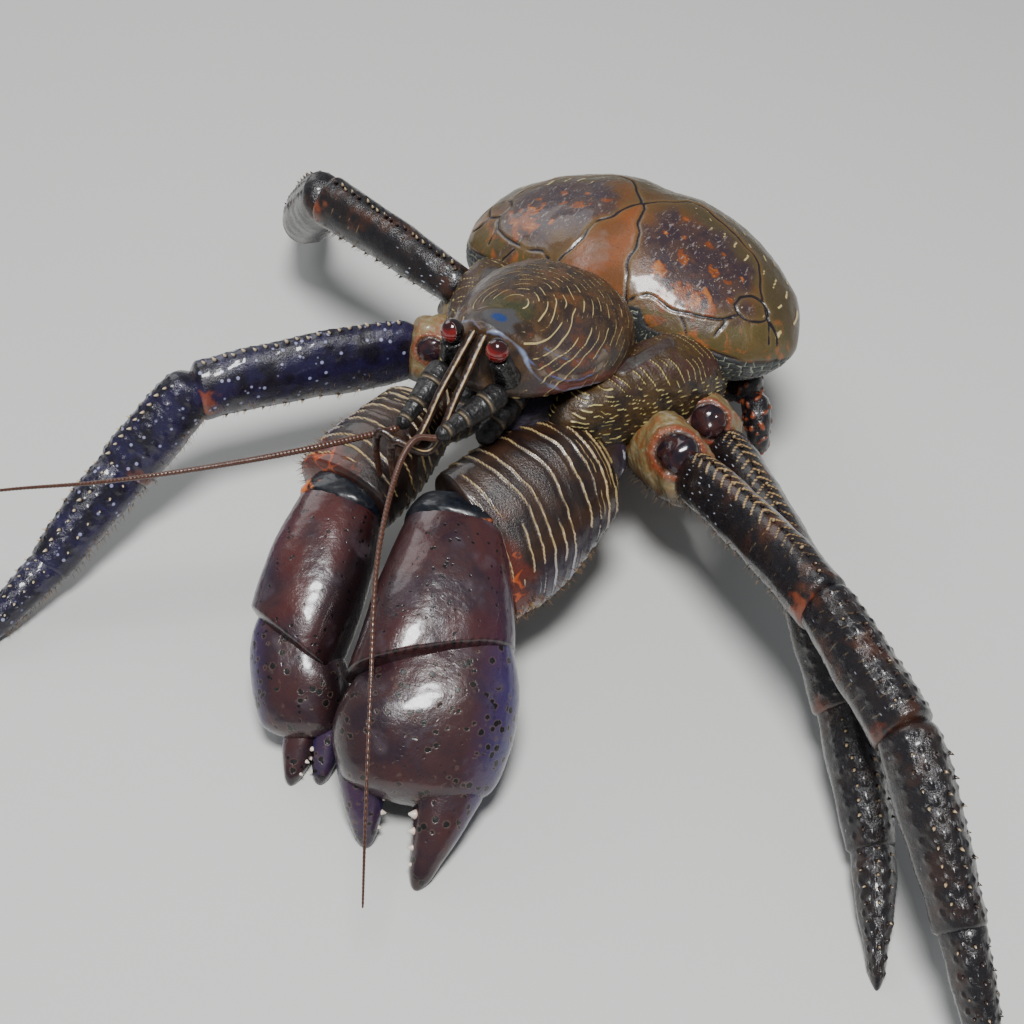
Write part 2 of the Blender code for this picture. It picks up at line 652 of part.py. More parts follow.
def spike(at, way, radius, height, sink=SPINE_SINK, sides=SPINE_SIDES):
    """One tapered spine or tooth, its sizes in millimetres, its root sunk below the surface."""
    bm = bmesh.new()
    whole = (height + sink) * MM
    bmesh.ops.create_cone(bm, cap_ends=True, segments=sides, radius1=radius * MM,
                          radius2=SPINE_TIP_SHARE * radius * MM, depth=whole)
    turn = Vector((0, 0, 1)).rotation_difference(way).to_matrix()
    spin = Matrix.Rotation(chance.uniform(0, math.pi), 3, "Z")
    middle = at + way * ((height - sink) / 2 * MM)
    for v in bm.verts:
        v.co = middle + turn @ (spin @ v.co)
    outwards(bm)
    mesh = bpy.data.meshes.new("spike")
    bm.to_mesh(mesh)
    bm.free()
    return finish("spike" + str(len(nodes)), mesh, "joint")


def plate(at, facing, along, half_long, half_wide, rise, sides=8, rings=4):
    """A low shield of horn lying on the surface, its sizes in millimetres."""
    facing = facing.normalized()
    side = facing.cross(along).normalized()
    front = side.cross(facing)
    bm = bmesh.new()
    bmesh.ops.create_uvsphere(bm, u_segments=sides, v_segments=rings, radius=1.0)
    for v in bm.verts:
        v.co = at + (front * v.co.x * half_long + side * v.co.y * half_wide + facing * v.co.z * rise) * MM
    outwards(bm)
    mesh = bpy.data.meshes.new("plate")
    bm.to_mesh(mesh)
    bm.free()
    return finish("plate" + str(len(nodes)), mesh, "joint")


def spine_row(name, base, tip, dorsal, tilt, start, end, count, height, lean=0.5):
    """A row of forward-leaning spines along a limb piece, at one angle round it from the back."""
    base = Vector(base)
    tip = Vector(tip)
    along = (tip - base).normalized()
    side = along.cross(Vector(dorsal)).normalized()
    up = side.cross(along)
    turn = math.radians(tilt)
    out = up * math.cos(turn) + side * math.sin(turn)
    row = []
    for k in range(count):
        at = start + (end - start) * k / max(count - 1, 1)
        hit, normal = surface(name, base.lerp(tip, at), out)
        if hit is None:
            continue
        tall = height * chance.uniform(0.85, 1.15)
        root = SPINE_ROOT_SHARE * tall + SPINE_ROOT_LEAST
        row.append(spike(hit, (normal + along * lean).normalized(), root, tall))
    return row


# Rows of spines on the walking legs: tilt from the back in degrees, start, end, count and height
LEG_SPINES = {
    "merus": ((0, 0.16, 0.90, 13, 1.9), (150, 0.30, 0.88, 4, 1.5)),
    "carpus": ((10, 0.25, 0.85, 5, 1.7),),
    "propodus": ((20, 0.15, 0.85, 5, 1.6), (-40, 0.22, 0.80, 3, 1.4)),
    "dactylus": ((0, 0.20, 0.70, 3, 1.2),),
}
for leg, joints in LEGS.items():
    for k, segment in enumerate(SEGMENTS):
        name = leg + "_" + segment
        a = Vector(joints[k]) * MM
        b = Vector(joints[k + 1]) * MM
        pieces = []
        for tilt, start, end, count, height in LEG_SPINES.get(segment, ()):
            pieces += spine_row(name, a, b, (0, 0, 1), tilt, start, end, count, height)
        if pieces:
            merge(name, pieces)

# The glossy condyles the meri of the walking legs turn on, set in the coxae
CONDYLES = {
    "leg2_left": ((0.42, -0.52, 0.74), 7.0, 5.5),
    "leg2_right": ((0.28, -0.70, 0.66), 5.0, 4.2),
    "leg3_left": ((0.40, -0.50, 0.76), 5.6, 5.0),
    "leg3_right": ((-0.30, -0.55, 0.78), 3.6, 3.2),
}
CONDYLE_RISE = 2.6
CONDYLE_AT = 0.55
for leg, (way, half_long, half_wide) in CONDYLES.items():
    a = Vector(LEGS[leg][0]) * MM
    b = Vector(LEGS[leg][1]) * MM
    way = Vector(way).normalized()
    hit, normal = surface(leg + "_coxa", a.lerp(b, CONDYLE_AT), way)
    knob = plate(hit, normal, b - a, half_long, half_wide, CONDYLE_RISE, sides=10, rings=6)
    merge(leg + "_coxa", [knob])

# Blunt teeth along the biting edges of the great claws: piece, the way the edge faces, root size
TEETH = (("left", "finger", -1, 2.3, 3), ("left", "palm", 1, 2.6, 3),
         ("right", "finger", 1, 1.7, 3), ("right", "palm", -1, 1.8, 2))
# Where the teeth stand along the finger, how much smaller each is than the last, and how low one may be
TOOTH_START = 0.45
TOOTH_RUN = 0.32
TOOTH_SHRINK = 0.2
TOOTH_HEIGHT_SHARE = 0.9
TOOTH_SINK = 2.0
TOOTH_CLEARANCE = 0.004
for word, piece, facing, size, count in TEETH:
    name = "claw_" + word + "_" + piece
    base, tip, dorsal, _ = CLAWS[word]["finger" if piece == "finger" else "fixed"]
    along = (Vector(tip) - Vector(base)).normalized()
    side = along.cross(Vector(dorsal)).normalized() * facing
    row = []
    for k in range(count):
        at = TOOTH_START + TOOTH_RUN * k / max(count - 1, 1)
        hit, normal = surface(name, Vector(base).lerp(Vector(tip), at), side)
        if hit is None or hit.z < TOOTH_CLEARANCE:
            continue
        scale = 1.0 - TOOTH_SHRINK * k
        tall = size * TOOTH_HEIGHT_SHARE * scale
        row.append(spike(hit, normal, size * scale, tall, sides=6, sink=TOOTH_SINK))
    if row:
        merge(name, row)

# Small plates of the carapace: half of the dome or flank, a place inside it, the way out, sizes
SMALL_PLATES = (
    ("carapace_flank", (40, 66, -30), (0.75, -0.25, 0.60), 10.5, 3.2, 1.1),
    ("carapace_dome", (40, 96, -18), (0.62, -0.55, 0.55), 6.5, 3.6, 1.0),
    ("carapace_dome", (52, 98, -20), (0.72, -0.50, 0.45), 5.5, 3.2, 1.0),
    ("carapace_dome", (58, 122, -20), (0.86, 0.20, 0.45), 5.0, 2.6, 0.9),
    ("carapace_dome", (52, 136, -20), (0.62, 0.66, 0.40), 6.5, 2.6, 0.9),
    ("carapace_dome", (36, 141, -20), (0.30, 0.86, 0.40), 7.0, 2.6, 0.9),
)
for side, word in ((1, "left"), (-1, "right")):
    for part in ("carapace_flank", "carapace_dome"):
        row = []
        for owner, place, way, half_long, half_wide, rise in SMALL_PLATES:
            if owner != part:
                continue
            inside = body(place[0] * side, *place[1:])
            out = Vector((way[0] * side, way[1], way[2])).normalized()
            hit, normal = surface(part + "_" + word, inside, out)
            if hit is not None:
                row.append(plate(hit, normal, Vector((0, 0, 1)).cross(normal), half_long, half_wide, rise))
        merge(part + "_" + word, row)

# Tubercles on the small fourth legs: tilt from the back in degrees, start, end, count and height
TUBERCLES = (15, 0.3, 0.85, 4, 1.3)
for side, word in SMALL_LEG_SIDES:
    name = "leg4_" + word + "_merus"
    tilt, start, end, count, height = TUBERCLES
    merge(name, spine_row(name, *mirrored(SMALL_MERUS, side), (0, 0, 1), tilt * side, start, end, count,
                          height, lean=0.0))

# Everything stands on the floor by small flats
FLOOR_DEPTH = 0.03
FLOOR_REACH = 0.5
floor = block("floor", [Vector((x, y, z)) for x in (-FLOOR_REACH, FLOOR_REACH)
                        for y in (-FLOOR_REACH, FLOOR_REACH) for z in (-FLOOR_DEPTH, 0)])
for ob in list(nodes.values()):
    if min(v.co.z for v in ob.data.vertices) < 0:
        apply_boolean(ob, "DIFFERENCE", floor)
        largest(ob)

# Each piece is cut back a gap clear of those named before it
ORDER = ["carapace_shield", "carapace_heart", "carapace_dome_left", "carapace_dome_right",
         "carapace_flank_left", "carapace_flank_right",
         "eye_left", "eye_right", "eye_stalk_left", "eye_stalk_right"]
for leg in ("leg2_left", "leg2_right"):
    ORDER += [leg + "_" + segment for segment in ("coxa", "merus", "carpus", "propodus", "dactylus")]
for word in ("left", "right"):
    ORDER += ["claw_" + word + "_" + piece for piece in ("merus", "coxa", "carpus", "palm", "finger")]
for leg in ("leg3_left", "leg3_right"):
    ORDER += [leg + "_" + segment for segment in ("coxa", "merus", "carpus", "propodus", "dactylus")]
for word in ("left", "right"):
    ORDER += ["leg4_" + word + "_merus", "leg4_" + word + "_hand"]
ORDER += ["thorax", "abdomen_belly", "abdomen_tergite_2", "abdomen_tergite_3", "abdomen_tergite_4",
          "abdomen_tergite_5", "abdomen_tail"]
for word in ("left", "right"):
    ORDER += ["antennule_" + word, "antenna_peduncle_" + word, "antenna_flagellum_" + word]
    ORDER += ["maxilliped_" + word]
for k, name in enumerate(ORDER):
    for other in ORDER[:k]:
        if near(nodes[name], nodes[other]):
            clear(name, other)

for tool in list(cutters.objects):
    bpy.data.objects.remove(tool, do_unlink=True)
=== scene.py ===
"""The looks of the coconut crab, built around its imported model. Metres, +Z up, the crab faces -Y."""
import math

import bmesh
import bpy
import numpy as np
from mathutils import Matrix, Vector


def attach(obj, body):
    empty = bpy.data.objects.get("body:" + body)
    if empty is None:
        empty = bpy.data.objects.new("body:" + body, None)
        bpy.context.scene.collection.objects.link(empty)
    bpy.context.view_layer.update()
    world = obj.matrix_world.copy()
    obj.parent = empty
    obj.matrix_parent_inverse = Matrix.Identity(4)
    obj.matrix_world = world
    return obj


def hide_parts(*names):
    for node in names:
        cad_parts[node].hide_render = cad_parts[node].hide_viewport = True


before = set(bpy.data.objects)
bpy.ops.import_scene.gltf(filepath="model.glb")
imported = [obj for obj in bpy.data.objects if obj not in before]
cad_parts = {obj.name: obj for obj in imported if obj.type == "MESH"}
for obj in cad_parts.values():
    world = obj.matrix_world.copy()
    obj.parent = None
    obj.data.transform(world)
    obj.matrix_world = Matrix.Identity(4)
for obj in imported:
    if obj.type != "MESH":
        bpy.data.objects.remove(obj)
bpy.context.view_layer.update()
MM = 0.001
SIDES = ((1, "left"), (-1, "right"))

# The front shield of the carapace: a calcified shell cast in one with the rest, low and egg-shaped,
# with the rostrum at its tip. Terraces ring its middle, each a low step edged with a cream lip,
# and the smooth grey brow in front of them carries a blue spot.
ROSTRUM_TIP = np.array((0.0, -0.110, 0.118))
PITCH = math.radians(16.0)
PITCH_ROWS = np.array(((1, 0, 0),
                       (0, math.cos(PITCH), math.sin(PITCH)),
                       (0, -math.sin(PITCH), math.cos(PITCH))))
CAP_SHARE = 0.2


def body(x, y, z):
    """A place on the carapace, in millimetres left, back and up from the rostrum tip."""
    return ROSTRUM_TIP + PITCH_ROWS @ np.array((x, y, z)) * MM


def on_body(points):
    """Places in the carapace's own millimetres."""
    return (points - ROSTRUM_TIP) @ PITCH_ROWS / MM


def unit(v):
    v = np.asarray(v, float)
    return v / np.linalg.norm(v)


def step(value, low, high):
    """A soft rise from 0 to 1 between two values."""
    t = np.clip((value - low) / (high - low), 0, 1)
    return t * t * (3 - 2 * t)


def bell(distance, width):
    """1 where the distance is nothing, falling off smoothly over the width."""
    return np.exp(-(distance / width) ** 2)


def full(share, half, top=None, low=None, shift=0, lift=0):
    """A station with what it leaves out filled in: a round section, no shift and no lift."""
    return share, half, half if top is None else top, half if low is None else low, shift, lift


def smooth(stations, at):
    """The sizes at each fraction of the length, on a smooth curve through the stations."""
    s = np.array(stations, float)
    last = len(s) - 1
    at = np.asarray(at, float)
    i = np.clip(np.searchsorted(s[:, 0], at, side="left") - 1, 0, last - 1)
    a, b = s[i], s[i + 1]
    before, after = s[np.maximum(i - 1, 0)], s[np.minimum(i + 2, last)]
    span = (b[:, :1] - a[:, :1])
    u = np.clip((at[:, None] - a[:, :1]) / span, 0, 1)
    slope_a = (b - before) / (b[:, :1] - before[:, :1])
    slope_b = (after - a) / (after[:, :1] - a[:, :1])
    curve = (2 * u ** 3 - 3 * u ** 2 + 1) * a + (u ** 3 - 2 * u ** 2 + u) * span * slope_a
    curve += (3 * u ** 2 - 2 * u ** 3) * b + (u ** 3 - u ** 2) * span * slope_b
    return curve[:, 1:].T


def swirl(points, size, seed, octaves=2):
    """Smooth seeded noise from about -1 to 1 at places in mm, its patches about that size."""
    rng = np.random.default_rng(seed)
    total = np.zeros(len(points))
    for octave in range(octaves):
        waves = rng.normal(size=(9, 3))
        waves *= rng.uniform(0.7, 1.4, size=(9, 1)) / np.linalg.norm(waves, axis=1, keepdims=True)
        waves *= 2 * np.pi * 2 ** octave / size
        total += np.sin(points @ waves.T + rng.uniform(0, 2 * np.pi, 9)).sum(1) / 3.2 / 2 ** octave
    return np.clip(total, -1.4, 1.4)


def curve(line, count):
    """So many places along a smooth curve through the given ones."""
    knots = [(k / (len(line) - 1), *p) for k, p in enumerate(line)]
    return smooth(knots, np.linspace(0, 1, count)).T


def to_line(points, line):
    """Distance from each place to a line of straight stretches."""
    best = np.full(len(points), 1e9)
    for a, b in zip(line, line[1:]):
        d = b - a
        t = np.clip((points - a) @ d / max(d @ d, 1e-9), 0, 1)
        best = np.minimum(best, np.linalg.norm(points - a - t[:, None] * d, axis=1))
    return best


def to_curve(points, line):
    """Distance from each place to a smooth curve through the given ones."""
    return to_line(points, curve(line, 6 * len(line)))


def to_seam(points, line):
    """Distance to a smooth curve that is first moved onto the surface, to the nearest of the points."""
    flatter = (1, 1, 0.25)
    near = [points[np.argmin(((points - p) ** 2 * flatter).sum(1))] for p in curve(line, 5 * len(line))]
    near = np.array(near)
    for _ in range(2):
        near[1:-1] = (near[:-2] + 2 * near[1:-1] + near[2:]) / 4
    return to_line(points, near)


class Shell:
    """One piece of shell: a sphere whose corners are moved in rings along a line from base to tip.

    A station is a fraction of the length, then half width, height above, depth below, shift and lift
    in mm. A round one gives its radius alone.
    """

    def __init__(self, name, base, tip, dorsal, stations, sides=72, rings=96, caps=(0.12, 0.12),
                 power=2.2, keel=0.0, slant=(0.0, 0.0), crowd=0.0):
        bpy.ops.object.select_all(action="DESELECT")
        bpy.ops.mesh.primitive_grid_add(x_subdivisions=sides, y_subdivisions=rings, size=1.0)
        self.ob = bpy.context.object
        self.ob.name = self.ob.data.name = "shell_" + name
        flat = self.corners()
        round_it, down_it = (flat[:, 0] + 0.5) * 2 * np.pi, (flat[:, 1] + 0.5) * np.pi
        ball = (np.cos(round_it) * np.sin(down_it), np.sin(round_it) * np.sin(down_it), np.cos(down_it))
        self.move_to(np.stack(ball, 1))
        bpy.ops.object.mode_set(mode="EDIT")
        bpy.ops.mesh.select_all(action="SELECT")
        bpy.ops.mesh.remove_doubles(threshold=0.00001)
        bpy.ops.object.mode_set(mode="OBJECT")
        unit_co = self.corners()
        self.base, self.tip = np.asarray(base, float), np.asarray(tip, float)
        self.length = np.linalg.norm(self.tip - self.base) / MM
        self.along = unit(self.tip - self.base)
        self.side = unit(np.cross(self.along, np.asarray(dorsal, float)))
        self.up = np.cross(self.side, self.along)
        ring = np.arccos(np.clip(unit_co[:, 2], -1, 1)) / np.pi
        turn = np.arctan2(unit_co[:, 1], unit_co[:, 0])
        lean_in = (turn - np.pi / 2 + np.pi) % (2 * np.pi) - np.pi
        turn = np.pi / 2 + lean_in - crowd * np.sin(lean_in)
        start = np.clip(ring / CAP_SHARE, 0, 1) * np.pi / 2
        end = np.clip((1 - ring) / CAP_SHARE, 0, 1) * np.pi / 2
        middle = np.clip((ring - CAP_SHARE) / (1 - 2 * CAP_SHARE), 0, 1)
        at = caps[0] * (1 - np.cos(start)) + (1 - caps[0] - caps[1]) * middle + caps[1] * np.cos(end)
        share = np.sin(start) * np.sin(end)
        half, top, low, shift, lift = smooth([full(*station) for station in stations], at)
        across = np.sign(np.cos(turn)) * np.abs(np.cos(turn)) ** (2 / power)
        high = np.sign(np.sin(turn)) * np.abs(np.sin(turn)) ** (2 / power)
        across = across * (1 - keel * np.maximum(high, 0))
        wide = across * half * share
        rise = np.where(high > 0, top, low) * high * share + lift
        far = at * self.length + (slant[0] * (1 - at) + slant[1] * at) * wide
        self.at, self.turn = at, np.degrees(lean_in)
        self.local = np.stack((far, wide, rise), 1)
        co = self.base + np.outer(far * MM, self.along) + np.outer((wide + shift) * MM, self.side)
        self.move_to(co + np.outer(rise * MM, self.up))
        bm = bmesh.new()
        bm.from_mesh(self.ob.data)
        if bm.calc_volume(signed=True) < 0:
            bmesh.ops.reverse_faces(bm, faces=bm.faces)
            bm.to_mesh(self.ob.data)
        bm.free()
        bpy.ops.object.shade_smooth()

    def corners(self):
        co = np.empty(len(self.ob.data.vertices) * 3)
        self.ob.data.vertices.foreach_get("co", co)
        return co.reshape(-1, 3)

    def move_to(self, co):
        self.ob.data.vertices.foreach_set("co", co.ravel())
        self.ob.data.update()

    def normals(self):
        n = np.empty(len(self.ob.data.vertices) * 3)
        self.ob.data.vertex_normals.foreach_get("vector", n)
        return n.reshape(-1, 3)

    def lift(self, rise):
        """Raise the surface by so many mm, corner by corner."""
        self.move_to(self.corners() + self.normals() * (rise * MM)[:, None])

    def mark(self, **masks):
        """Keep masks on the corners for the material to read."""
        for name, values in masks.items():
            layer = self.ob.data.attributes.new(name, "FLOAT", "POINT")
            layer.data.foreach_set("value", np.asarray(values, np.float32))

    def done(self, material, slot, *nodes):
        """Give the piece its material, keep it off the floor and put it in place of the nodes."""
        co = self.corners()
        co[:, 2] = np.maximum(co[:, 2], 0)
        self.move_to(co)
        self.ob.data.materials.append(material)
        if nodes:
            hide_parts(*nodes)
        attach(self.ob, "root")


class Value:
    """A number socket of a material that takes part in sums as a plain number would."""

    def __init__(self, tree, socket):
        self.tree, self.socket = tree, socket

    def sum(self, operation, a, b, clamp=False):
        node = self.tree.nodes.new("ShaderNodeMath")
        node.operation = operation
        node.use_clamp = clamp
        for k, term in enumerate((a, b)):
            if isinstance(term, Value):
                self.tree.links.new(term.socket, node.inputs[k])
            else:
                node.inputs[k].default_value = term
        return Value(self.tree, node.outputs[0])

    def __add__(self, other):
        return self.sum("ADD", self, other)

    def __sub__(self, other):
        return self.sum("SUBTRACT", self, other)

    def __rsub__(self, other):
        return self.sum("SUBTRACT", other, self)

    def __mul__(self, other):
        return self.sum("MULTIPLY", self, other)

    __radd__ = __add__
    __rmul__ = __mul__

    def clamped(self):
        return self.sum("ADD", self, 0.0, clamp=True)

    def rise(self, low, high):
        """A soft rise from 0 to 1 between two values."""
        node = self.tree.nodes.new("ShaderNodeMapRange")
        node.interpolation_type = "SMOOTHSTEP"
        self.tree.links.new(self.socket, node.inputs["Value"])
        node.inputs["From Min"].default_value = low
        node.inputs["From Max"].default_value = high
        return Value(self.tree, node.outputs["Result"])


def tint(red, green, blue):
    """A colour from its screen values of 0 to 255."""
    return (*[((c / 255 + 0.055) / 1.055) ** 2.4 if c > 10 else c / 3295 for c in (red, green, blue)], 1.0)


class Finish:
    """A material read from the piece's own masks and from noise in the piece's own space."""

    def __init__(self, name):
        self.mat = bpy.data.materials.new(name)
        self.mat.use_nodes = True
        self.tree = self.mat.node_tree
        self.shader = self.tree.nodes["Principled BSDF"]
        self.place = self.node("ShaderNodeTexCoord").outputs["Object"]

    def node(self, kind, settings=None, **sockets):
        node = self.tree.nodes.new(kind)
        for key, value in (settings or {}).items():
            setattr(node, key, value)
        for key, value in sockets.items():
            self.put(node.inputs[key.replace("_", " ")], value)
        return node

    def put(self, socket, value):
        if isinstance(value, Value):
            value = value.socket
        if isinstance(value, bpy.types.NodeSocket):
            self.tree.links.new(value, socket)
        else:
            socket.default_value = value

    def __getitem__(self, name):
        """A mask kept on the piece's corners."""
        node = self.node("ShaderNodeAttribute", {"attribute_name": name})
        return Value(self.tree, node.outputs["Fac"])

    def noise(self, size, detail=3.0, rough=0.55, warp=0.0):
        """Noise from 0 to 1 with patches of about that many mm."""
        node = self.node("ShaderNodeTexNoise", Vector=self.place, Scale=1 / (size * MM), Detail=detail,
                         Roughness=rough, Distortion=warp)
        return Value(self.tree, node.outputs["Fac"])

    def cells(self, size):
        """Distance to the nearest of many scattered dots about that many mm apart."""
        node = self.node("ShaderNodeTexVoronoi", Vector=self.place, Scale=1 / (size * MM))
        return Value(self.tree, node.outputs["Distance"])

    def mix(self, a, b, share):
        """One colour turning into another by the share, each a link or screen values of 0 to 255."""
        node = self.node("ShaderNodeMix", {"data_type": "RGBA"})
        for place, value in (("Factor", share), (6, a), (7, b)):
            self.put(node.inputs[place], tint(*value) if isinstance(value, tuple) else value)
        return node.outputs[2]

    def over(self, colour, share):
        """Lay a colour over what the material has so far."""
        self.colour = self.mix(self.colour, colour, share)

    def done(self, roughness, height=None, bump=0.3, coat=0.0):
        """Link the colour, the roughness and the height in mm of the fine relief."""
        self.put(self.shader.inputs["Base Color"], self.colour)
        self.put(self.shader.inputs["Roughness"], roughness)
        self.shader.inputs["Coat Weight"].default_value = coat
        self.shader.inputs["Coat Roughness"].default_value = 0.12
        if height is not None:
            relief = self.node("ShaderNodeBump", Height=height, Strength=bump, Distance=MM)
            self.put(self.shader.inputs["Normal"], relief.outputs["Normal"])
        return self.mat


def terraces(field, along, seed, dash, width, gaps):
    """Terrace lips: how much of a cream lip lies at each place, and the step of the terrace there.

    The field counts the lips, along runs in mm beside them, and the lips break into dashes.
    """
    number = np.floor(field)
    within = field - number - 0.5
    # A different random number for each lip
    hashed = np.abs(np.sin(number * 12.9898 + seed) * 43758.5453) % 1.0
    run = np.sin(along * 2 * np.pi / (dash * (0.7 + 0.6 * hashed)) + hashed * 6.283)
    run += 0.5 * np.sin(along * 2 * np.pi / (dash * 0.43) + hashed * 17)
    shown = step(run, gaps - 0.25, gaps + 0.25)
    lip = bell(within, width) * shown
    ledge = np.where(within < 0, within + 0.5, within - 0.5) * shown
    return lip, ledge


shield = Shell("carapace_shield", body(0, -1, -20), body(0, 72.5, -20), (0, 0, 1), [
    (0.00, 5, 20, 5),
    (0.07, 13, 21, 6),
    (0.23, 22, 22, 8),
    (0.50, 29.5, 25, 9),
    (0.74, 30.5, 24.5, 9),
    (0.90, 26.5, 21, 8),
    (1.00, 18, 15, 6)], sides=310, rings=270, caps=(0.05, 0.10), crowd=0.6)
at = on_body(shield.corners())
x, y = np.abs(at[:, 0]), at[:, 1]
WHORL = (0.0, 20.0)
LIP_SPACING = 3.0
away = np.hypot(at[:, 0] * 0.98, (y - WHORL[1]) / 1.15) + 0.5 * np.maximum(-7 - at[:, 2], 0)
from_back = np.arctan2(at[:, 0], y - WHORL[1])
field = away / LIP_SPACING + 0.16 * swirl(at, 24, 1) + 0.05 * swirl(at, 7, 2, 1) + 0.04 * np.abs(from_back)
run = away * (from_back + 0.42 * np.sin(2 * from_back))
lip, ledge = terraces(field, run, 3.1, dash=10, width=0.085, gaps=-0.30)
faint, _ = terraces(field * 2 + 0.5, run * 1.3, 7.7, dash=6, width=0.12, gaps=0.75)
grey = step(-np.hypot(at[:, 0] - 0.6, (y - 8.5) * 1.05) + 0.9 * swirl(at, 7, 4), -7.6, -5.4)
opening = step(np.cos(from_back) + 0.3 * swirl(at, 9, 71) + step(away, 10, 17) * 2, -0.55, -0.15)
lined = (1 - grey) * step(away, 2.0, 3.4) * step(y + 0.35 * x + 1.2 * swirl(at, 9, 3), 9, 13) * opening
lip = np.maximum(lip, 0.6 * faint) * lined
ledge *= lined
halves = np.stack((x, y, at[:, 2]), 1)
RIM = [(1.5, 0.4, -0.6), (5, 3.0, -2.2), (8.6, 4.8, -4.1), (12.9, 7.5, -8.3), (14.7, 8.1, -12.0),
       (18.5, 11.8, -16.7), (24, 21, -22), (27.5, 30, -23.5), (29.5, 44, -22)]
OUTER_ARC = [(14.1, 8.4, -10.2), (18.9, 12.6, -14.0), (23.2, 19.0, -17.5), (27.4, 27.3, -18.2),
             (30.0, 34.9, -16.3)]
INNER_ARC = [(12.2, 11.5, -6.2), (17.5, 16.0, -9.6), (22.5, 22.5, -12.6), (26.2, 30.5, -13.2),
             (28.2, 38, -11)]
rim, outer_arc, inner_arc = [to_seam(halves, line) for line in (RIM, OUTER_ARC, INNER_ARC)]
spot = np.hypot((at[:, 0] - 1.0) * 0.8, y - 8.3)
brow_edge = to_curve(np.stack((x, y), 1), [(1.0, 14.5), (5, 13.4), (8.5, 10.5)])
shield.lift(0.30 * ledge + 0.16 * lip - 0.35 * bell(brow_edge, 1.0) * (1 - grey) + 0.35 * bell(rim, 0.9)
            + 0.2 * swirl(at, 22, 5) + 0.25 * bell(outer_arc, 0.7) - 0.25 * bell(outer_arc - 1.5, 0.6))
patch = step(swirl(at, 12, 73), -0.8, 0.6)
arc = np.maximum(bell(outer_arc, 0.45) * (0.3 + 0.7 * patch),
                 0.8 * bell(inner_arc, 0.45) * (swirl(at, 5, 61) > -0.2))
shield.mark(lip=lip, brow=1 - grey, rim=bell(rim, 0.55 + 0.45 * patch) * (0.5 + 0.5 * patch), arc=arc,
            spot=step(-spot, -2.9, -1.6), flush=step(swirl(at, 17, 6), 0.15, 0.9),
            margin=step(-at[:, 2], 17, 21) * step(y, 8, 16), olive=step(-np.hypot(x - 3, y - 17), -8, -3),
            cheek=step(-np.minimum(outer_arc, inner_arc), -3.2, -0.8) * step(y, 9, 13),
            lilac=step(x, 13, 21) * step(-y, -46, -24))
f = Finish("carapace")
patchy = f.noise(6, 4)
fine = f.noise(0.9, 4)
dust = f.cells(0.75)
f.colour = f.mix((44, 30, 22), (74, 52, 28), patchy.rise(0.38, 0.64))
f.over((56, 46, 50), f["lilac"] * 0.75)
f.over((58, 66, 32), f["olive"] * 0.5)
f.over((96, 54, 22), f["flush"] * patchy.rise(0.46, 0.66) * 0.55)
f.over((26, 18, 14), fine.rise(0.5, 0.72) * 0.6)
f.over((168, 150, 116), (0.17 - dust).rise(0, 0.08) * f.noise(9, 2).rise(0.5, 0.6) * 0.6)
f.colour = f.mix((66, 64, 66), f.colour, f["brow"])
f.over((122, 108, 92), f["cheek"] * patchy.rise(0.46, 0.6) * 0.6)
f.over((120, 66, 34), f["cheek"] * (1 - patchy).rise(0.5, 0.6) * 0.6)
f.over((98, 48, 42), f["margin"] * 0.8)
f.over((186, 168, 116), f["lip"].rise(0.3, 0.75))
f.over((132, 146, 176), f["rim"].rise(0.15, 1.0) * (0.35 + patchy).clamped() * 0.85)
f.over((84, 104, 156), f["arc"].rise(0.3, 1.0) * 0.8)
f.over((20, 50, 104), f["spot"])
shield.done(f.done(0.24 + fine * 0.22, fine + f.noise(0.35, 3) * 0.6, bump=0.3, coat=0.35),
            "carapace", "carapace_shield")

# The branchial dome: the wide swollen hind part of the carapace over the gill chambers, one calcified
# shell parted by dark sutures into a middle wedge, great side plates, small front and corner plates
# and a hind strip. Its lower edge in front is shod with two or three rows of small blue-grey scales.
DOME_HALF_WIDTH = 70.5
DOME = [
    (0.00, 39, 35, 12),
    (0.20, 40, 35, 12),
    (0.42, 38, 30, 11, 1, 0),
    (0.65, 32, 24, 9),
    (0.85, 23, 16, 8, -1, 0),
    (1.00, 14, 9, 6, -2, -1)]
stations = [((1 - a) / 2, *sizes) for a, *sizes in reversed(DOME)]
stations += [((1 + a) / 2, *sizes) for a, *sizes in DOME[1:]]
dome = Shell("carapace_dome", body(DOME_HALF_WIDTH, 111, -20), body(-DOME_HALF_WIDTH, 111, -20), (0, 0, 1),
             stations, sides=275, rings=335, caps=(0.08, 0.08), power=2.3, crowd=0.5)
at = on_body(dome.corners())
x, y, z = np.abs(at[:, 0]), at[:, 1], at[:, 2]
wobble = np.stack((x + 0.6 * swirl(at, 14, 7), y + 0.6 * swirl(at, 14, 8), z), 1)
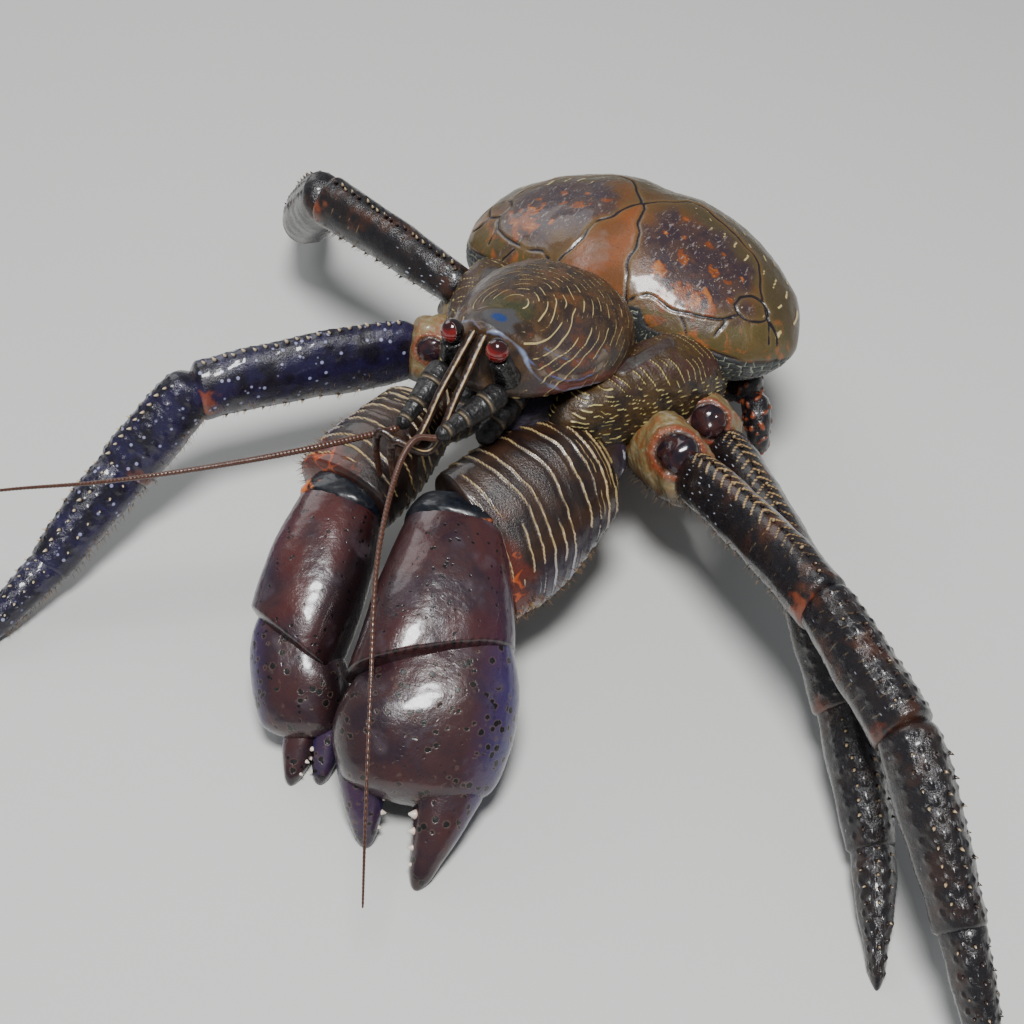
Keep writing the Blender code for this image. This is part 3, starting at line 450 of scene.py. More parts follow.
SUTURES = [
    [(22, 60, -3), (17.5, 68, -1), (13.0, 77, 0.5), (10.5, 81, 3), (9.5, 86, 6.5), (7.0, 92, 10),
     (1.0, 106, 15)],
    [(1, 106, 15), (6.4, 112, 15.3), (14.7, 120.7, 15.2), (29.7, 121, 11.4), (40.5, 118.1, 7.5),
     (46.0, 115.7, 5), (51, 110, 2), (54.1, 104.9, -1.5), (59.8, 102, -6), (65, 98, -15)],
    [(18, 72, -4), (22, 76.9, -5.6), (30.2, 79, -7.6), (38, 81.5, -7.5), (46.1, 85.1, -8.3), (52, 90, -7)],
    [(35.9, 79.6, -9.2), (38, 78.4, -12), (39.5, 78.2, -15)],
    [(50.3, 93.8, -3.7), (49.5, 97.5, -2), (52.2, 101.4, -1.7), (57.8, 103.9, -4.2), (60.3, 101.8, -7.0),
     (57.1, 94.6, -8.0), (52.4, 92.4, -6.2), (50.3, 93.8, -3.7)],
    [(56.5, 94, -8), (58, 92, -11), (60, 92, -15), (61.5, 94, -18)],
    [(52, 91.5, -6.5), (50, 88, -8), (49.2, 83, -13.9)],
    [(61, 101, -8), (64, 101.5, -11), (67, 102, -16)]]
PLATE_EDGE = [(22, 71, -9), (26.4, 74, -14.8), (32.9, 76.1, -15.6), (42.6, 79, -16.4), (53.4, 83.4, -19),
              (62.4, 90.6, -20.5), (68.4, 100.8, -21.2)]
suture = np.min([to_seam(wobble, line) for line in SUTURES], axis=0)
edge = to_curve(np.stack((x, y, z), 1), PLATE_EDGE)
front = step(-(y - 113) / 45, 0.05, 0.2)
below = -(z - np.interp(x, [p[0] for p in PLATE_EDGE], [p[2] for p in PLATE_EDGE]))
skirt = step(below, 0.0, 0.6) * front * step(-below, -13, -10)
round_edge = np.arctan2(111 - y, x) * 62
row = below / 2.3 + 0.16 * swirl(at, 11, 62)
column = round_edge / (3.6 + 0.5 * (np.floor(row) % 2)) + 0.37 * np.floor(row) + 0.16 * swirl(at, 8, 9)
in_row, in_column = row % 1, column % 1
scale_edge = np.minimum(np.minimum(in_row, 1 - in_row) * 2.3, np.minimum(in_column, 1 - in_column) * 3.8)
scale_dome = skirt * step(scale_edge, 0.0, 0.55) * (0.6 + 0.4 * in_row)
# Orange blotches: left and back from the rostrum tip, and radius
BLOTCHES = (
    (30.7, 83.2, 3.6), (27.3, 79.5, 3.2), (37.1, 83.8, 3.6), (33.6, 85.5, 2.2), (40.0, 88.9, 3.0),
    (37.6, 97.2, 2.4), (26.7, 93.1, 2.6), (21.6, 84.0, 3.0), (22.5, 100.7, 1.7), (29.7, 105.5, 1.8),
    (46.5, 103.3, 1.7), (43.5, 97.5, 1.4), (47.4, 92.5, 1.6), (16, 96, 1.5), (32.5, 90.5, 1.5),
    (36, 106, 1.3), (18, 108, 1.3), (44, 85.5, 2.2), (-38.5, 91.9, 5.0), (-38.4, 87.3, 5.2),
    (-44.0, 88.5, 2.6), (-33, 85, 3.0), (-20.9, 95.9, 3.4), (-47.4, 92.5, 2.0), (-40.6, 99.9, 1.9),
    (-32.5, 104.5, 1.9), (-11.8, 99.9, 2.2), (-26, 88, 2.0), (-29, 97, 1.6), (-22, 104, 1.4))
blotch = np.zeros(len(at))
for bx, by, size in BLOTCHES:
    near = np.hypot(at[:, 0] - bx, (y - by)) / size
    ragged = -near + 0.38 * swirl(at, 5, 10) + 0.22 * swirl(at, 2.2, 11)
    blotch = np.maximum(blotch, step(ragged, -1.15, -0.35))
beyond = to_curve(wobble, SUTURES[1]) * ((y > 106) | (x > 55))
hind = step(beyond, 0.6, 1.8) * step(y + 0.35 * x, 116, 124)
dash_field = np.hypot(x / 70, (y - 111) / np.where(y > 111, 40, 60)) * 12 + 0.12 * swirl(at, 17, 12)
streak, _ = terraces(dash_field, round_edge, 8.7, dash=12, width=0.075, gaps=0.35)
short, _ = terraces(dash_field * 1.2 + 0.3, round_edge * 1.4, 2.7, dash=9, width=0.08, gaps=1.05)
half_wedge = np.interp(y, [60, 77, 81, 86, 92, 106], [20, 13, 10.5, 9.5, 7.0, 0.5])
wedge = step(half_wedge - x, 0, 1.2) * step(-y, -107, -104)
shoulder = bell(suture, 2.0)
bare = 1 - skirt
dome.lift(-0.7 * bell(suture, 0.5) * bare - 0.45 * bell(edge, 0.45) * front
          + 0.5 * scale_dome - 0.25 * skirt + 0.22 * shoulder * bare
          + 0.16 * swirl(at, 30, 13) + 0.05 * swirl(at, 8, 14)
          + 0.15 * streak * hind + 0.06 * blotch)
centre = step(-np.hypot((x - 31) * 0.95, (y - 97) * 1.25) + 3 * swirl(at, 12, 15), -26, -17) * (1 - wedge)
pale = step(-np.hypot(at[:, 0] + 3, (y - 79.5) * 0.8) + 1.5 * swirl(at, 6, 63), -7, -1)
dome.mark(suture=bell(suture, 0.50) * bare, shoulder=shoulder, skirt=skirt, scale=scale_dome,
          blotch=blotch * (1 - 0.75 * wedge), hind=hind, wedge=wedge, pale=wedge * pale, centre=centre,
          streak=np.maximum(streak * hind, 0.8 * short * (1 - hind) * centre),
          edge=bell(edge, 0.45) * front, plates=step(-z, 7.6, 9.4) * front * bare * (1 - centre * 0.5))
f = Finish("dome")
patchy = f.noise(7, 4, 0.6, 0.8)
cloud = f.noise(20, 3)
fine = f.noise(0.9, 4)
glint_cells = f.cells(1.15)
SCRATCH_WAY = (0.2, 0.1, 0.9)
SCRATCHES_PER_METRE = (900, 300, 300)
drawn = f.node("ShaderNodeMapping", Vector=f.place, Rotation=SCRATCH_WAY, Scale=SCRATCHES_PER_METRE)
scratch = f.node("ShaderNodeTexNoise", Vector=drawn.outputs["Vector"], Scale=1.0, Detail=3.0)
scratch = Value(f.tree, scratch.outputs["Fac"])
f.colour = f.mix((80, 56, 24), (98, 58, 26), cloud.rise(0.42, 0.62))
f.over((64, 56, 32), f["hind"] * 0.8)
f.over((76, 70, 34), f["plates"] * 0.75)
f.over((146, 78, 30), f["plates"] * patchy.rise(0.52, 0.66) * 0.8)
f.over((62, 44, 42), f["centre"] * (patchy * 0.5 + 0.7).clamped())
f.over((46, 32, 40), f["centre"] * patchy.rise(0.42, 0.6) * 0.85)
f.over((122, 66, 26), f["wedge"] * (0.45 + 0.5 * cloud.rise(0.4, 0.6)))
f.over((120, 112, 108), f["pale"] * patchy.rise(0.3, 0.65) * 0.45)
f.over((104, 84, 46), f["shoulder"] * 0.5)
f.over((114, 54, 14), (f["blotch"] - patchy * 0.35).rise(0.0, 0.6) * 0.9)
f.over((166, 102, 40), (f["blotch"] - fine * 0.4).rise(0.5, 0.8) * patchy.rise(0.42, 0.6) * 0.7)
f.over((200, 180, 124), f["streak"].rise(0.35, 0.85))
f.over((34, 24, 22), fine.rise(0.54, 0.76) * 0.5)
# Pale specks, thickest on the middle of the dome: painted highlight glints of its wet gloss
speck = (0.24 - glint_cells).rise(0.0, 0.10) * f.noise(3.5, 2).rise(0.42, 0.58)
f.over((196, 186, 176), speck * (0.06 + 0.24 * f["centre"]))
f.over((150, 140, 136), scratch.rise(0.60, 0.70) * f["centre"] * 0.5)
f.over((38, 44, 46), f["skirt"] * 0.95)
f.over((158, 162, 140), (f["skirt"] - f["scale"] * 2.2).rise(0.35, 0.8) * 0.65)
f.over((26, 18, 24), (f["suture"] + f["edge"] * 0.8).clamped().rise(0.15, 0.6))
relief = fine * 0.7 + f.noise(0.35, 3) * 0.5 + scratch * 0.25
dome.done(f.done(0.25 + fine * 0.24 + speck * 0.2, relief, bump=0.22, coat=0.4),
          "dome", "carapace_heart", "carapace_dome_left", "carapace_dome_right")

# The flanks: the thin side walls of the carapace below the shield, leathery and yellow-brown, creased
# upright above and lengthwise below, each crease lipped with cream, with one smooth grey horn plate.
for side, word in SIDES:
    flank = Shell("carapace_flank_" + word, body(20 * side, 24, -38), body(48 * side, 100, -36), (0, 0, 1), [
        (0.00, 8, 9, 10),
        (0.30, 12, 16, 15),
        (0.65, 15, 22, 16),
        (1.00, 10, 14, 12)], sides=160 + 40 * side, rings=160 + 40 * side, caps=(0.15, 0.15), power=2.3)
    at = on_body(flank.corners())
    y, z = at[:, 1], at[:, 2]
    across = y / 2.7 + 0.10 * (z + 24) + 0.14 * swirl(at, 16, 16)
    upright, ledge_a = terraces(across, z, 5.0, dash=13, width=0.10, gaps=-0.5)
    down = z / 1.8 + 0.03 * y + 0.25 * swirl(at, 10, 17)
    lengthwise, ledge_b = terraces(down, y, 9.0, dash=7, width=0.14, gaps=-0.1)
    high = step(z + 1.5 * swirl(at, 11, 18), -27, -23)
    lip = upright * high + lengthwise * (1 - high)
    horn_plate = [(31.4 * side, 48.5, -20), (36 * side, 60, -15), (38 * side, 68, -14)]
    horn = 1 - step(to_curve(at, horn_plate), 2.6, 3.4)
    ledge = 0.35 * ledge_a * high + 0.35 * ledge_b * (1 - high)
    flank.lift((ledge + 0.25 * lip) * (1 - horn) + 0.7 * horn + 0.3 * swirl(at, 13, 19))
    flank.mark(lip=lip * (1 - horn), horn=horn, high=high)
    if side == 1:
        f = Finish("flank")
        patchy = f.noise(8, 4, 0.6, 0.8)
        fine = f.noise(0.9, 4)
        f.colour = f.mix((36, 26, 19), (68, 48, 20), patchy.rise(0.38, 0.62))
        f.over((78, 44, 34), f["high"] * (1 - patchy).rise(0.45, 0.6) * 0.6)
        f.over((20, 16, 15), fine.rise(0.5, 0.72) * 0.7)
        f.over((182, 168, 108), f["lip"].rise(0.3, 0.8))
        f.over(f.mix((66, 62, 60), (52, 38, 34), patchy.rise(0.4, 0.6)), f["horn"])
        flank_mat = f.done(0.32 + fine * 0.25, fine, bump=0.4, coat=0.2)
    flank.done(flank_mat, "flank", "carapace_flank_" + word)

# Eyes: short black granular stalks, each ending in a glossy cap whose front is the dark red cornea,
# a kidney-shaped window of tiny facets rimmed by a thin white line.
CORNEA_WAY = (0.40, -0.80, 0.25)
EYE_RADIUS = 3.9
EYE_HALF_HEIGHT = 4.2
for side, word in SIDES:
    stalk = Shell("eye_stalk_" + word, body(11 * side, 4, -18), body(9.4 * side, -2.5, -7), (0, 1, 0), [
        (0.00, 5.0),
        (0.50, 4.2),
        (1.00, 3.7)], sides=64, rings=64, caps=(0.15, 0.1), power=2.0)
    at = stalk.corners() / MM
    stalk.lift(0.06 * swirl(at, 1.6, 20) + 0.10 * swirl(at, 5, 21))
    if side == 1:
        f = Finish("eye_stalk")
        grain = f.cells(0.9)
        f.colour = f.mix((12, 10, 10), (92, 84, 72), (0.16 - grain).rise(0, 0.08) * 0.5)
        stalk_mat = f.done(0.22 + grain * 0.2, grain, bump=0.35, coat=0.4)
    stalk.done(stalk_mat, "feeler", "eye_stalk_" + word)
    centre = body(9.0 * side, -3.9, -3.6)
    reach = np.array((0, 0, EYE_HALF_HEIGHT)) * MM
    eye = Shell("eye_" + word, centre - reach, centre + reach, (0, -1, 0), [
        (0.00, EYE_RADIUS),
        (1.00, EYE_RADIUS)], sides=96, rings=80, caps=(0.5, 0.5), power=2.0)
    way = unit(CORNEA_WAY * np.array((side, 1, 1)))
    at = (eye.corners() - centre) / (4.0 * MM)
    across = at @ unit(np.cross((0, 0, 1), way))
    notch = (1 - np.minimum(np.abs(across) * 2.5, 1)) * step(at[:, 2], 0.1, 0.5)
    window = at @ way + 0.10 * across ** 2 - 0.12 * notch
    eye.mark(cornea=step(window, 0.30, 0.35), rim=bell(window - 0.30, 0.035),
             brow=step(at[:, 2] + 0.25 * across * side, 0.35, 0.75))
    eye.lift(0.15 * step(window, 0.24, 0.40))
    if side == 1:
        f = Finish("eye")
        facets = f.cells(0.25)
        f.colour = f.mix((18, 10, 10), (116, 14, 10), f["cornea"])
        f.over((64, 9, 9), f["cornea"] * f.noise(3, 2).rise(0.4, 0.7) * 0.6)
        f.over((26, 6, 8), f["brow"] * 0.9)
        f.over((214, 196, 186), f["rim"].rise(0.5, 0.95) * (1 - f["brow"] * 0.5) * 0.8)
        eye_mat = f.done(0.10 + facets * 0.05, facets, bump=0.03, coat=0.9)
    eye.done(eye_mat, "eye", "eye_" + word)

# Feelers: the first pair are slim dark rods with a cream line down the front, bent and ending in short
# drooping lashes. The second pair have stout ringed granular stems and long whips of many brown rings.
FEELERS = {
    "left": {
        "antennule": [(2.1, -112, 117), (3.0, -130, 104), (3.2, -146, 92),
                      (-6, -152, 96), (-8, -153, 88), (-8, -152, 74)],
        "peduncle": [(12, -116, 100), (8, -130, 100), (6, -146, 99)],
        "flagellum": [(6, -146, 99), (1, -152, 100), (5, -168, 98), (20, -198, 94),
                      (40, -229, 82), (58, -258, 60), (66, -272, 40)]},
    "right": {
        "antennule": [(-2.1, -112, 117), (-3.0, -130, 104), (-3.4, -147, 92),
                      (-13, -151, 96), (-15, -152, 88), (-15, -151, 74)],
        "peduncle": [(-12, -116, 100), (-9, -130, 97), (-11, -144, 93)],
        "flagellum": [(-11, -144, 93), (-28, -174, 98), (-49, -199, 99),
                      (-75, -219, 95), (-105, -235, 88), (-140, -250, 74)]},
}
# Steps of a feeler's path, and the spacing of its rings and of those on the lashes in mm
BENDS = 240
RING_PITCH = 1.35
LASH_RING_PITCH = 0.9


def feeler(name, points, radii, sides, rings):
    """A round feeler: a shell straight at first, then bent along the smooth curve through the points."""
    path = curve(points, BENDS + 1)
    length = np.linalg.norm(np.diff(path, axis=0), axis=1).sum()
    rod = Shell(name, (0, 0, 0), (length * MM, 0, 0), (0, 0, 1), radii,
                sides=sides, rings=rings, caps=(0.01, 0.01), power=2.0)
    share = np.clip(rod.local[:, 0] / length, 0, 1) * BENDS
    low = np.minimum(share.astype(int), BENDS - 1)
    here = path[low] + (path[low + 1] - path[low]) * (share - low)[:, None]
    ahead = np.gradient(path, axis=0)
    ahead /= np.linalg.norm(ahead, axis=1, keepdims=True)
    ahead = ahead[low]
    flat = np.cross(ahead, (0, 0, 1.0))
    flat /= np.linalg.norm(flat, axis=1, keepdims=True)
    over = np.cross(flat, ahead)
    rod.move_to((here + flat * rod.local[:, 1:2] + over * rod.local[:, 2:3]) * MM)
    return rod


for word, runs in FEELERS.items():
    rod = feeler("antennule_" + word, runs["antennule"], ((0, 1.6), (0.42, 1.35), (0.6, 1.5), (1, 0.9)),
                 sides=24, rings=240)
    far = rod.local[:, 0]
    rod.lift(0.10 * np.sin(far * 2 * np.pi / LASH_RING_PITCH) * step(far, 62, 66)
             + 0.06 * swirl(rod.corners() / MM, 3, 22)
             + 0.25 * bell(far - 40, 1.5) + 0.25 * bell(far - 52, 1.5))
    rod.mark(line=step(-np.abs(rod.turn - 30), -13, -6) * step(-far, -44, -38), lash=step(far, 60, 64))
    whip = feeler("antenna_flagellum_" + word, runs["flagellum"], ((0, 1.2), (0.5, 0.8), (1, 0.35)),
                  sides=12, rings=900)
    ringed = np.sin(whip.local[:, 0] * 2 * np.pi / RING_PITCH)
    whip.lift(0.11 * ringed * (1 - 0.6 * whip.at))
    whip.mark(line=step(ringed, 0.2, 0.9) * 0.6, lash=np.ones(len(ringed)))
    if word == "left":
        f = Finish("feeler")
        grain = f.noise(1.2, 4)
        f.colour = f.mix((26, 16, 12), (62, 36, 20), grain.rise(0.4, 0.7))
        f.over((70, 38, 26), f["lash"] * 0.7)
        f.over((206, 176, 124), f["line"] * (1 - f["lash"]) * 0.9)
        f.over((116, 72, 48), f["line"] * f["lash"] * 0.6)
        feeler_mat = f.done(0.25 + grain * 0.2, grain, bump=0.2, coat=0.3)
    rod.done(feeler_mat, "feeler", "antennule_" + word)
    whip.done(feeler_mat, "feeler", "antenna_flagellum_" + word)
    a, b, c = runs["peduncle"]
    stem = Shell("antenna_peduncle_" + word, np.array(a) * MM, np.array(c) * MM, (0, 0, 1), [
        (0.00, 4.6),
        (0.35, 4.4, 4.0, 4.0),
        (0.70, 3.0),
        (1.00, 2.4)], sides=96, rings=120, caps=(0.12, 0.1), power=2.0)
    at = stem.corners() / MM
    joint = np.min([np.abs(stem.at - p) for p in (0.30, 0.62, 0.86)], axis=0) * stem.length
    stem.lift(0.05 * swirl(at, 1.5, 23) - 0.6 * bell(joint, 0.6) + 0.25 * bell(joint - 1.3, 0.5))
    stem.mark(joint=bell(joint, 0.5), bump=step(swirl(at, 1.9, 23), 0.45, 1.0))
    if word == "left":
        f = Finish("antenna_stem")
        grain = f.cells(0.8)
        f.colour = f.mix((15, 12, 13), (44, 38, 38), f["bump"] * 0.6)
        f.over((110, 100, 84), (0.13 - grain).rise(0, 0.07) * 0.4)
        f.over((150, 132, 104), f["joint"] * 0.5)
        stem_mat = f.done(0.36 + grain * 0.2, grain, bump=0.15, coat=0.1)
    stem.done(stem_mat, "feeler", "antenna_peduncle_" + word)

# Mouthparts: the outermost pair of jaw legs, folded together under the feelers, dark and bristly.
for side, word in SIDES:
    base, tip = (0.0065 * side, -0.094, 0.086), (0.0055 * side, -0.121, 0.076)
    jaw = Shell("maxilliped_" + word, base, tip, (0, -1, 1), [
        (0.00, 5.5, 5, 5),
        (0.40, 5.5, 5, 5),
        (0.80, 4),
        (1.00, 3)], sides=80, rings=90, caps=(0.12, 0.12))
    at = jaw.corners() / MM
    joint = np.min([np.abs(jaw.at - p) for p in (0.35, 0.68)], axis=0) * jaw.length
    jaw.lift(0.15 * swirl(at, 3, 24) - 0.6 * bell(joint, 0.6))
    jaw.mark(joint=bell(joint, 0.5), bump=step(swirl(at, 3, 24), 0.5, 1.0))
    jaw.done(stem_mat, "claw_merus", "maxilliped_" + word)

# Great claws: heavy swollen limbs of thick glossy shell. The upper arm is ringed with cream-lipped
# terraces, the wrist and hand are smooth and pitted, and white blunt teeth line the biting edges.
# Each piece: base and tip in metres, the way its back faces, and its stations
CLAWS = {
    "left": {
        "coxa": ((0.018, -0.074, 0.050), (0.034, -0.090, 0.054), (0, 0, 1), (
            (0.0, 12), (0.5, 13, 14, 13), (1.0, 12, 13, 13))),
        "merus": ((0.036, -0.086, 0.054), (0.012, -0.143, 0.052), (0.58, -0.30, 0.74), (
            (0.0, 16, 14, 14, 1), (0.25, 23, 18, 18, 1), (0.6, 28.5, 19, 20, -3), (1.0, 28.5, 17, 19, -6))),
        "carpus": ((0.009, -0.134, 0.055), (0.0305, -0.1885, 0.0383), (0.40, -0.50, 0.76), (
            (0.0, 15, 14, 13, 2), (0.2, 19, 19, 17, 2), (0.5, 22.5, 22, 20, 1.5), (0.8, 25.5, 22, 20, 0.5),
            (1.0, 27, 20, 19))),
        "palm": ((0.0285, -0.179, 0.042), (0.046, -0.221, 0.012), (0.45, -0.47, 0.76), (
            (0.0, 22, 15, 15, 1), (0.15, 26, 17.5, 17, 1), (0.42, 30, 20.5, 20, 0.5), (0.75, 27.5, 18, 16),
            (1.0, 20, 12, 11))),
        "fixed": ((0.052, -0.206, 0.018), (0.060, -0.240, 0.000), (0.45, -0.47, 0.76), (
            (0.0, 13, 12, 11), (0.5, 8, 9, 9), (1.0, 2.5, 3, 3))),
        "finger": ((0.020, -0.214, 0.025), (0.037, -0.236, 0.000), (0.45, -0.47, 0.76), (
            (0.0, 9, 10, 9), (0.5, 7.5, 9, 8), (1.0, 2.5, 3, 3))),
    },
    "right": {
        "coxa": ((-0.022, -0.084, 0.052), (-0.034, -0.104, 0.056), (0, 0, 1), (
            (0.0, 10), (0.5, 12, 13, 12), (1.0, 11, 13, 12))),
        "merus": ((-0.033, -0.098, 0.056), (-0.034, -0.151, 0.052), (-0.1, -0.30, 0.9), (
            (0.0, 13, 12, 12), (0.3, 16, 15, 15), (0.7, 20, 16, 16), (1.0, 20, 14, 15))),
        "carpus": ((-0.034, -0.144, 0.053), (-0.0195, -0.2005, 0.0283), (0.1, -0.50, 0.85), (
            (0.0, 12, 11, 11), (0.2, 15.5, 15, 15), (0.5, 18, 18, 17), (0.8, 18.5, 18, 17),
            (1.0, 17.5, 16, 15.5))),
        "palm": ((-0.0215, -0.193, 0.032), (-0.003, -0.219, 0.010), (0.1, -0.50, 0.85), (
            (0.0, 13, 11, 11), (0.2, 16, 13.5, 13.5), (0.45, 17, 14.5, 14.5), (0.75, 15, 12, 12),
            (1.0, 11, 8, 8))),
        "fixed": ((-0.007, -0.210, 0.012), (0.001, -0.231, 0.000), (0.1, -0.50, 0.85), (
            (0.0, 7), (0.5, 5.5, 6, 6), (1.0, 2, 3, 3))),
        "finger": ((0.002, -0.207, 0.013), (0.009, -0.225, 0.000), (0.1, -0.50, 0.85), (
            (0.0, 5, 6, 6), (0.5, 4.5, 5, 5), (1.0, 2, 3, 3))),
    },
}
# How far the ends of a piece lean towards the outside, and how deep they are rounded
CLAW_SLANTS = {"carpus": (0.0, 0.42), "palm": (0.42, 0.0)}
CLAW_CAPS = {"merus": (0.15, 0.06), "carpus": (0.12, 0.05), "palm": (0.06, 0.15)}
f = Finish("claw_merus")
patchy = f.noise(9, 4)
fine = f.noise(0.7, 4)
f.colour = f.mix((30, 19, 17), (52, 33, 22), patchy.rise(0.38, 0.62))
f.over((44, 38, 60), f["outer"] * 0.8)
f.over((88, 34, 24), f["rim"] * 0.9)
f.over((176, 78, 30), f["rim"] * f["vein"].rise(0.45, 0.9) * 0.8)
f.over((18, 13, 13), fine.rise(0.5, 0.76) * 0.55)
f.over((172, 148, 102), f["lip"].rise(0.28, 0.8) * (0.55 + patchy * 0.8).clamped())
f.over((150, 160, 184), f["lip"].rise(0.28, 0.75) * f["outer"] * 0.8)
merus_mat = f.done(0.20 + fine * 0.26, fine + f.noise(0.3, 3) * 0.5, bump=0.3, coat=0.45)
f = Finish("claw")
patchy = f.noise(12, 4, 0.6, 0.5)
fine = f.noise(0.8, 4)
cell = f.cells(3.6) + f.noise(1.1, 2) * 0.34
group = f.noise(8.5, 1).rise(0.46, 0.49)
pit = (0.49 - cell).rise(0.0, 0.05) * group * f["pitted"]
lee = (0.60 - cell).rise(0.0, 0.10) * group * f["pitted"]
dent = (0.30 - f.cells(2.4)).rise(0.0, 0.06) * f.noise(5.0, 1).rise(0.52, 0.56) * f["dented"]
speck = (0.20 - f.cells(1.3)).rise(0.0, 0.08)
f.colour = f.mix((60, 35, 36), (42, 27, 36), patchy.rise(0.36, 0.64))
f.over((78, 29, 24), f["warm"] * (0.3 + patchy * 0.6).clamped())
f.over((20, 14, 17), f["inner"] * 0.85)
f.over((52, 46, 98), f["outer"] * (0.55 + patchy * 0.6).clamped())
f.over((82, 70, 76), f["sheen"] * patchy.rise(0.45, 0.7) * 0.55)
f.over((22, 14, 16), speck * fine.rise(0.45, 0.6) * 0.5)
f.over((30, 20, 22), fine.rise(0.54, 0.76) * 0.4)
f.over((96, 76, 64), lee * 0.45)
f.over((150, 74, 36), f["tissue"] * (0.4 + patchy * 0.8).clamped())
f.over((8, 6, 7), (pit + dent + f["edge"]).clamped())
wrinkle = f.noise(1.9, 4, 0.6, 0.9)
relief = wrinkle * 0.5 + fine * 0.12 - pit * 1.6 - dent + f.noise(5, 2) * 0.5
claw_mat = f.done(0.22 + fine * 0.16 + pit * 0.1, relief, bump=0.28, coat=0.45)
f = Finish("tooth")
grain = f.noise(1.2, 3)
f.colour = f.mix((226, 214, 198), (206, 150, 140), f["root"].rise(0.2, 0.9))
tooth_mat = f.done(0.25 + grain * 0.15, grain, bump=0.1, coat=0.4)
f = Finish("membrane")
grain = f.noise(1.5, 4)
f.colour = f.mix((8, 11, 19), (20, 26, 38), grain.rise(0.5, 0.7))
f.over((206, 104, 40), f["orange"])
f.over((240, 176, 120), f["orange"] * grain.rise(0.5, 0.66) * 0.6)
membrane_mat = f.done(0.3 + grain * 0.15, grain, bump=0.1, coat=0.25)
BAKE_EDGE = 0.02
BAKE_SPOT = 0.0015
GOLDEN = 0.618034


def prickles(name, roots, ways, sizes, material, slot, sides, sink=0.35):
    """Many tapered prickles in one mesh, each a copy of one cone sunk into the surface.

    Roots in metres, sizes as root radius and height in mm.
    """
    bpy.ops.object.select_all(action="DESELECT")
    bpy.ops.mesh.primitive_cone_add(vertices=sides, radius1=1.0, radius2=0.12, depth=1.0)
    ob = bpy.context.object
    ob.name = name
    bpy.ops.object.mode_set(mode="EDIT")
    bpy.ops.mesh.select_all(action="SELECT")
    bpy.ops.mesh.quads_convert_to_tris()
    bpy.ops.object.mode_set(mode="OBJECT")
    cone = np.array([v.co for v in ob.data.vertices]) + (0, 0, 0.5)
    faces = np.array([p.vertices for p in ob.data.polygons])
    tall = cone[:, 2]
    co, triangles, root = [], [], []
    for k, (at, way, (radius, height)) in enumerate(zip(roots, ways, sizes)):
        way = unit(way)
        side = unit(np.cross(way, (0.31, 0.52, 0.79)))
        front = np.cross(side, way)
        rise = tall * (height + sink) - sink
        spread = np.outer(cone[:, 0] * radius, side) + np.outer(cone[:, 1] * radius, front)
        co.append(at + (spread + np.outer(rise, way)) * MM)
        triangles.append(faces + k * len(cone))
        root.append(1 - tall)
    mesh = bpy.data.meshes.new(name)
    mesh.from_pydata(np.concatenate(co).tolist(), [], np.concatenate(triangles).tolist())
    old, ob.data = ob.data, mesh
    bpy.data.meshes.remove(old)
    layer = mesh.attributes.new("root", "FLOAT", "POINT")
    layer.data.foreach_set("value", np.concatenate(root).astype(np.float32))
    # Each cone has a tiny spot of its own on the bake, strewn evenly by the golden ratio
    bake = mesh.uv_layers.new(name="OFBake")
    corner = np.array([loop.vertex_index for loop in mesh.loops])
    number = corner // len(cone)
    spot = BAKE_EDGE + (1 - 2 * BAKE_EDGE) * np.stack((number * GOLDEN % 1, number / max(len(co), 1)), 1)
    bake.data.foreach_set("uv", (spot + cone[corner % len(cone), :2] * BAKE_SPOT).ravel())
    mesh.materials.append(material)
    bpy.ops.object.shade_smooth()
    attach(ob, "root")


def pick(shell, at, turn):
    """The place and facing of a shell's surface at a fraction of its length and an angle from its back."""
    co, facing = shell.corners(), shell.normals()
    off = (turn - shell.turn + 180) % 360 - 180
    k = int(np.argmin(((shell.at - at) * shell.length) ** 2 + (np.radians(off) * 12) ** 2))
    return co[k], facing[k]


# Corners round and along each piece
CLAW_DETAIL = {"left": {"merus": (230, 210), "carpus": (190, 170), "palm": (190, 170)},
               "right": {"merus": (180, 170), "carpus": (160, 140), "palm": (160, 140)}}
SMALL_DETAIL = (90, 80)
SMALL_CAPS = (0.15, 0.15)
TERRACE = 4.4
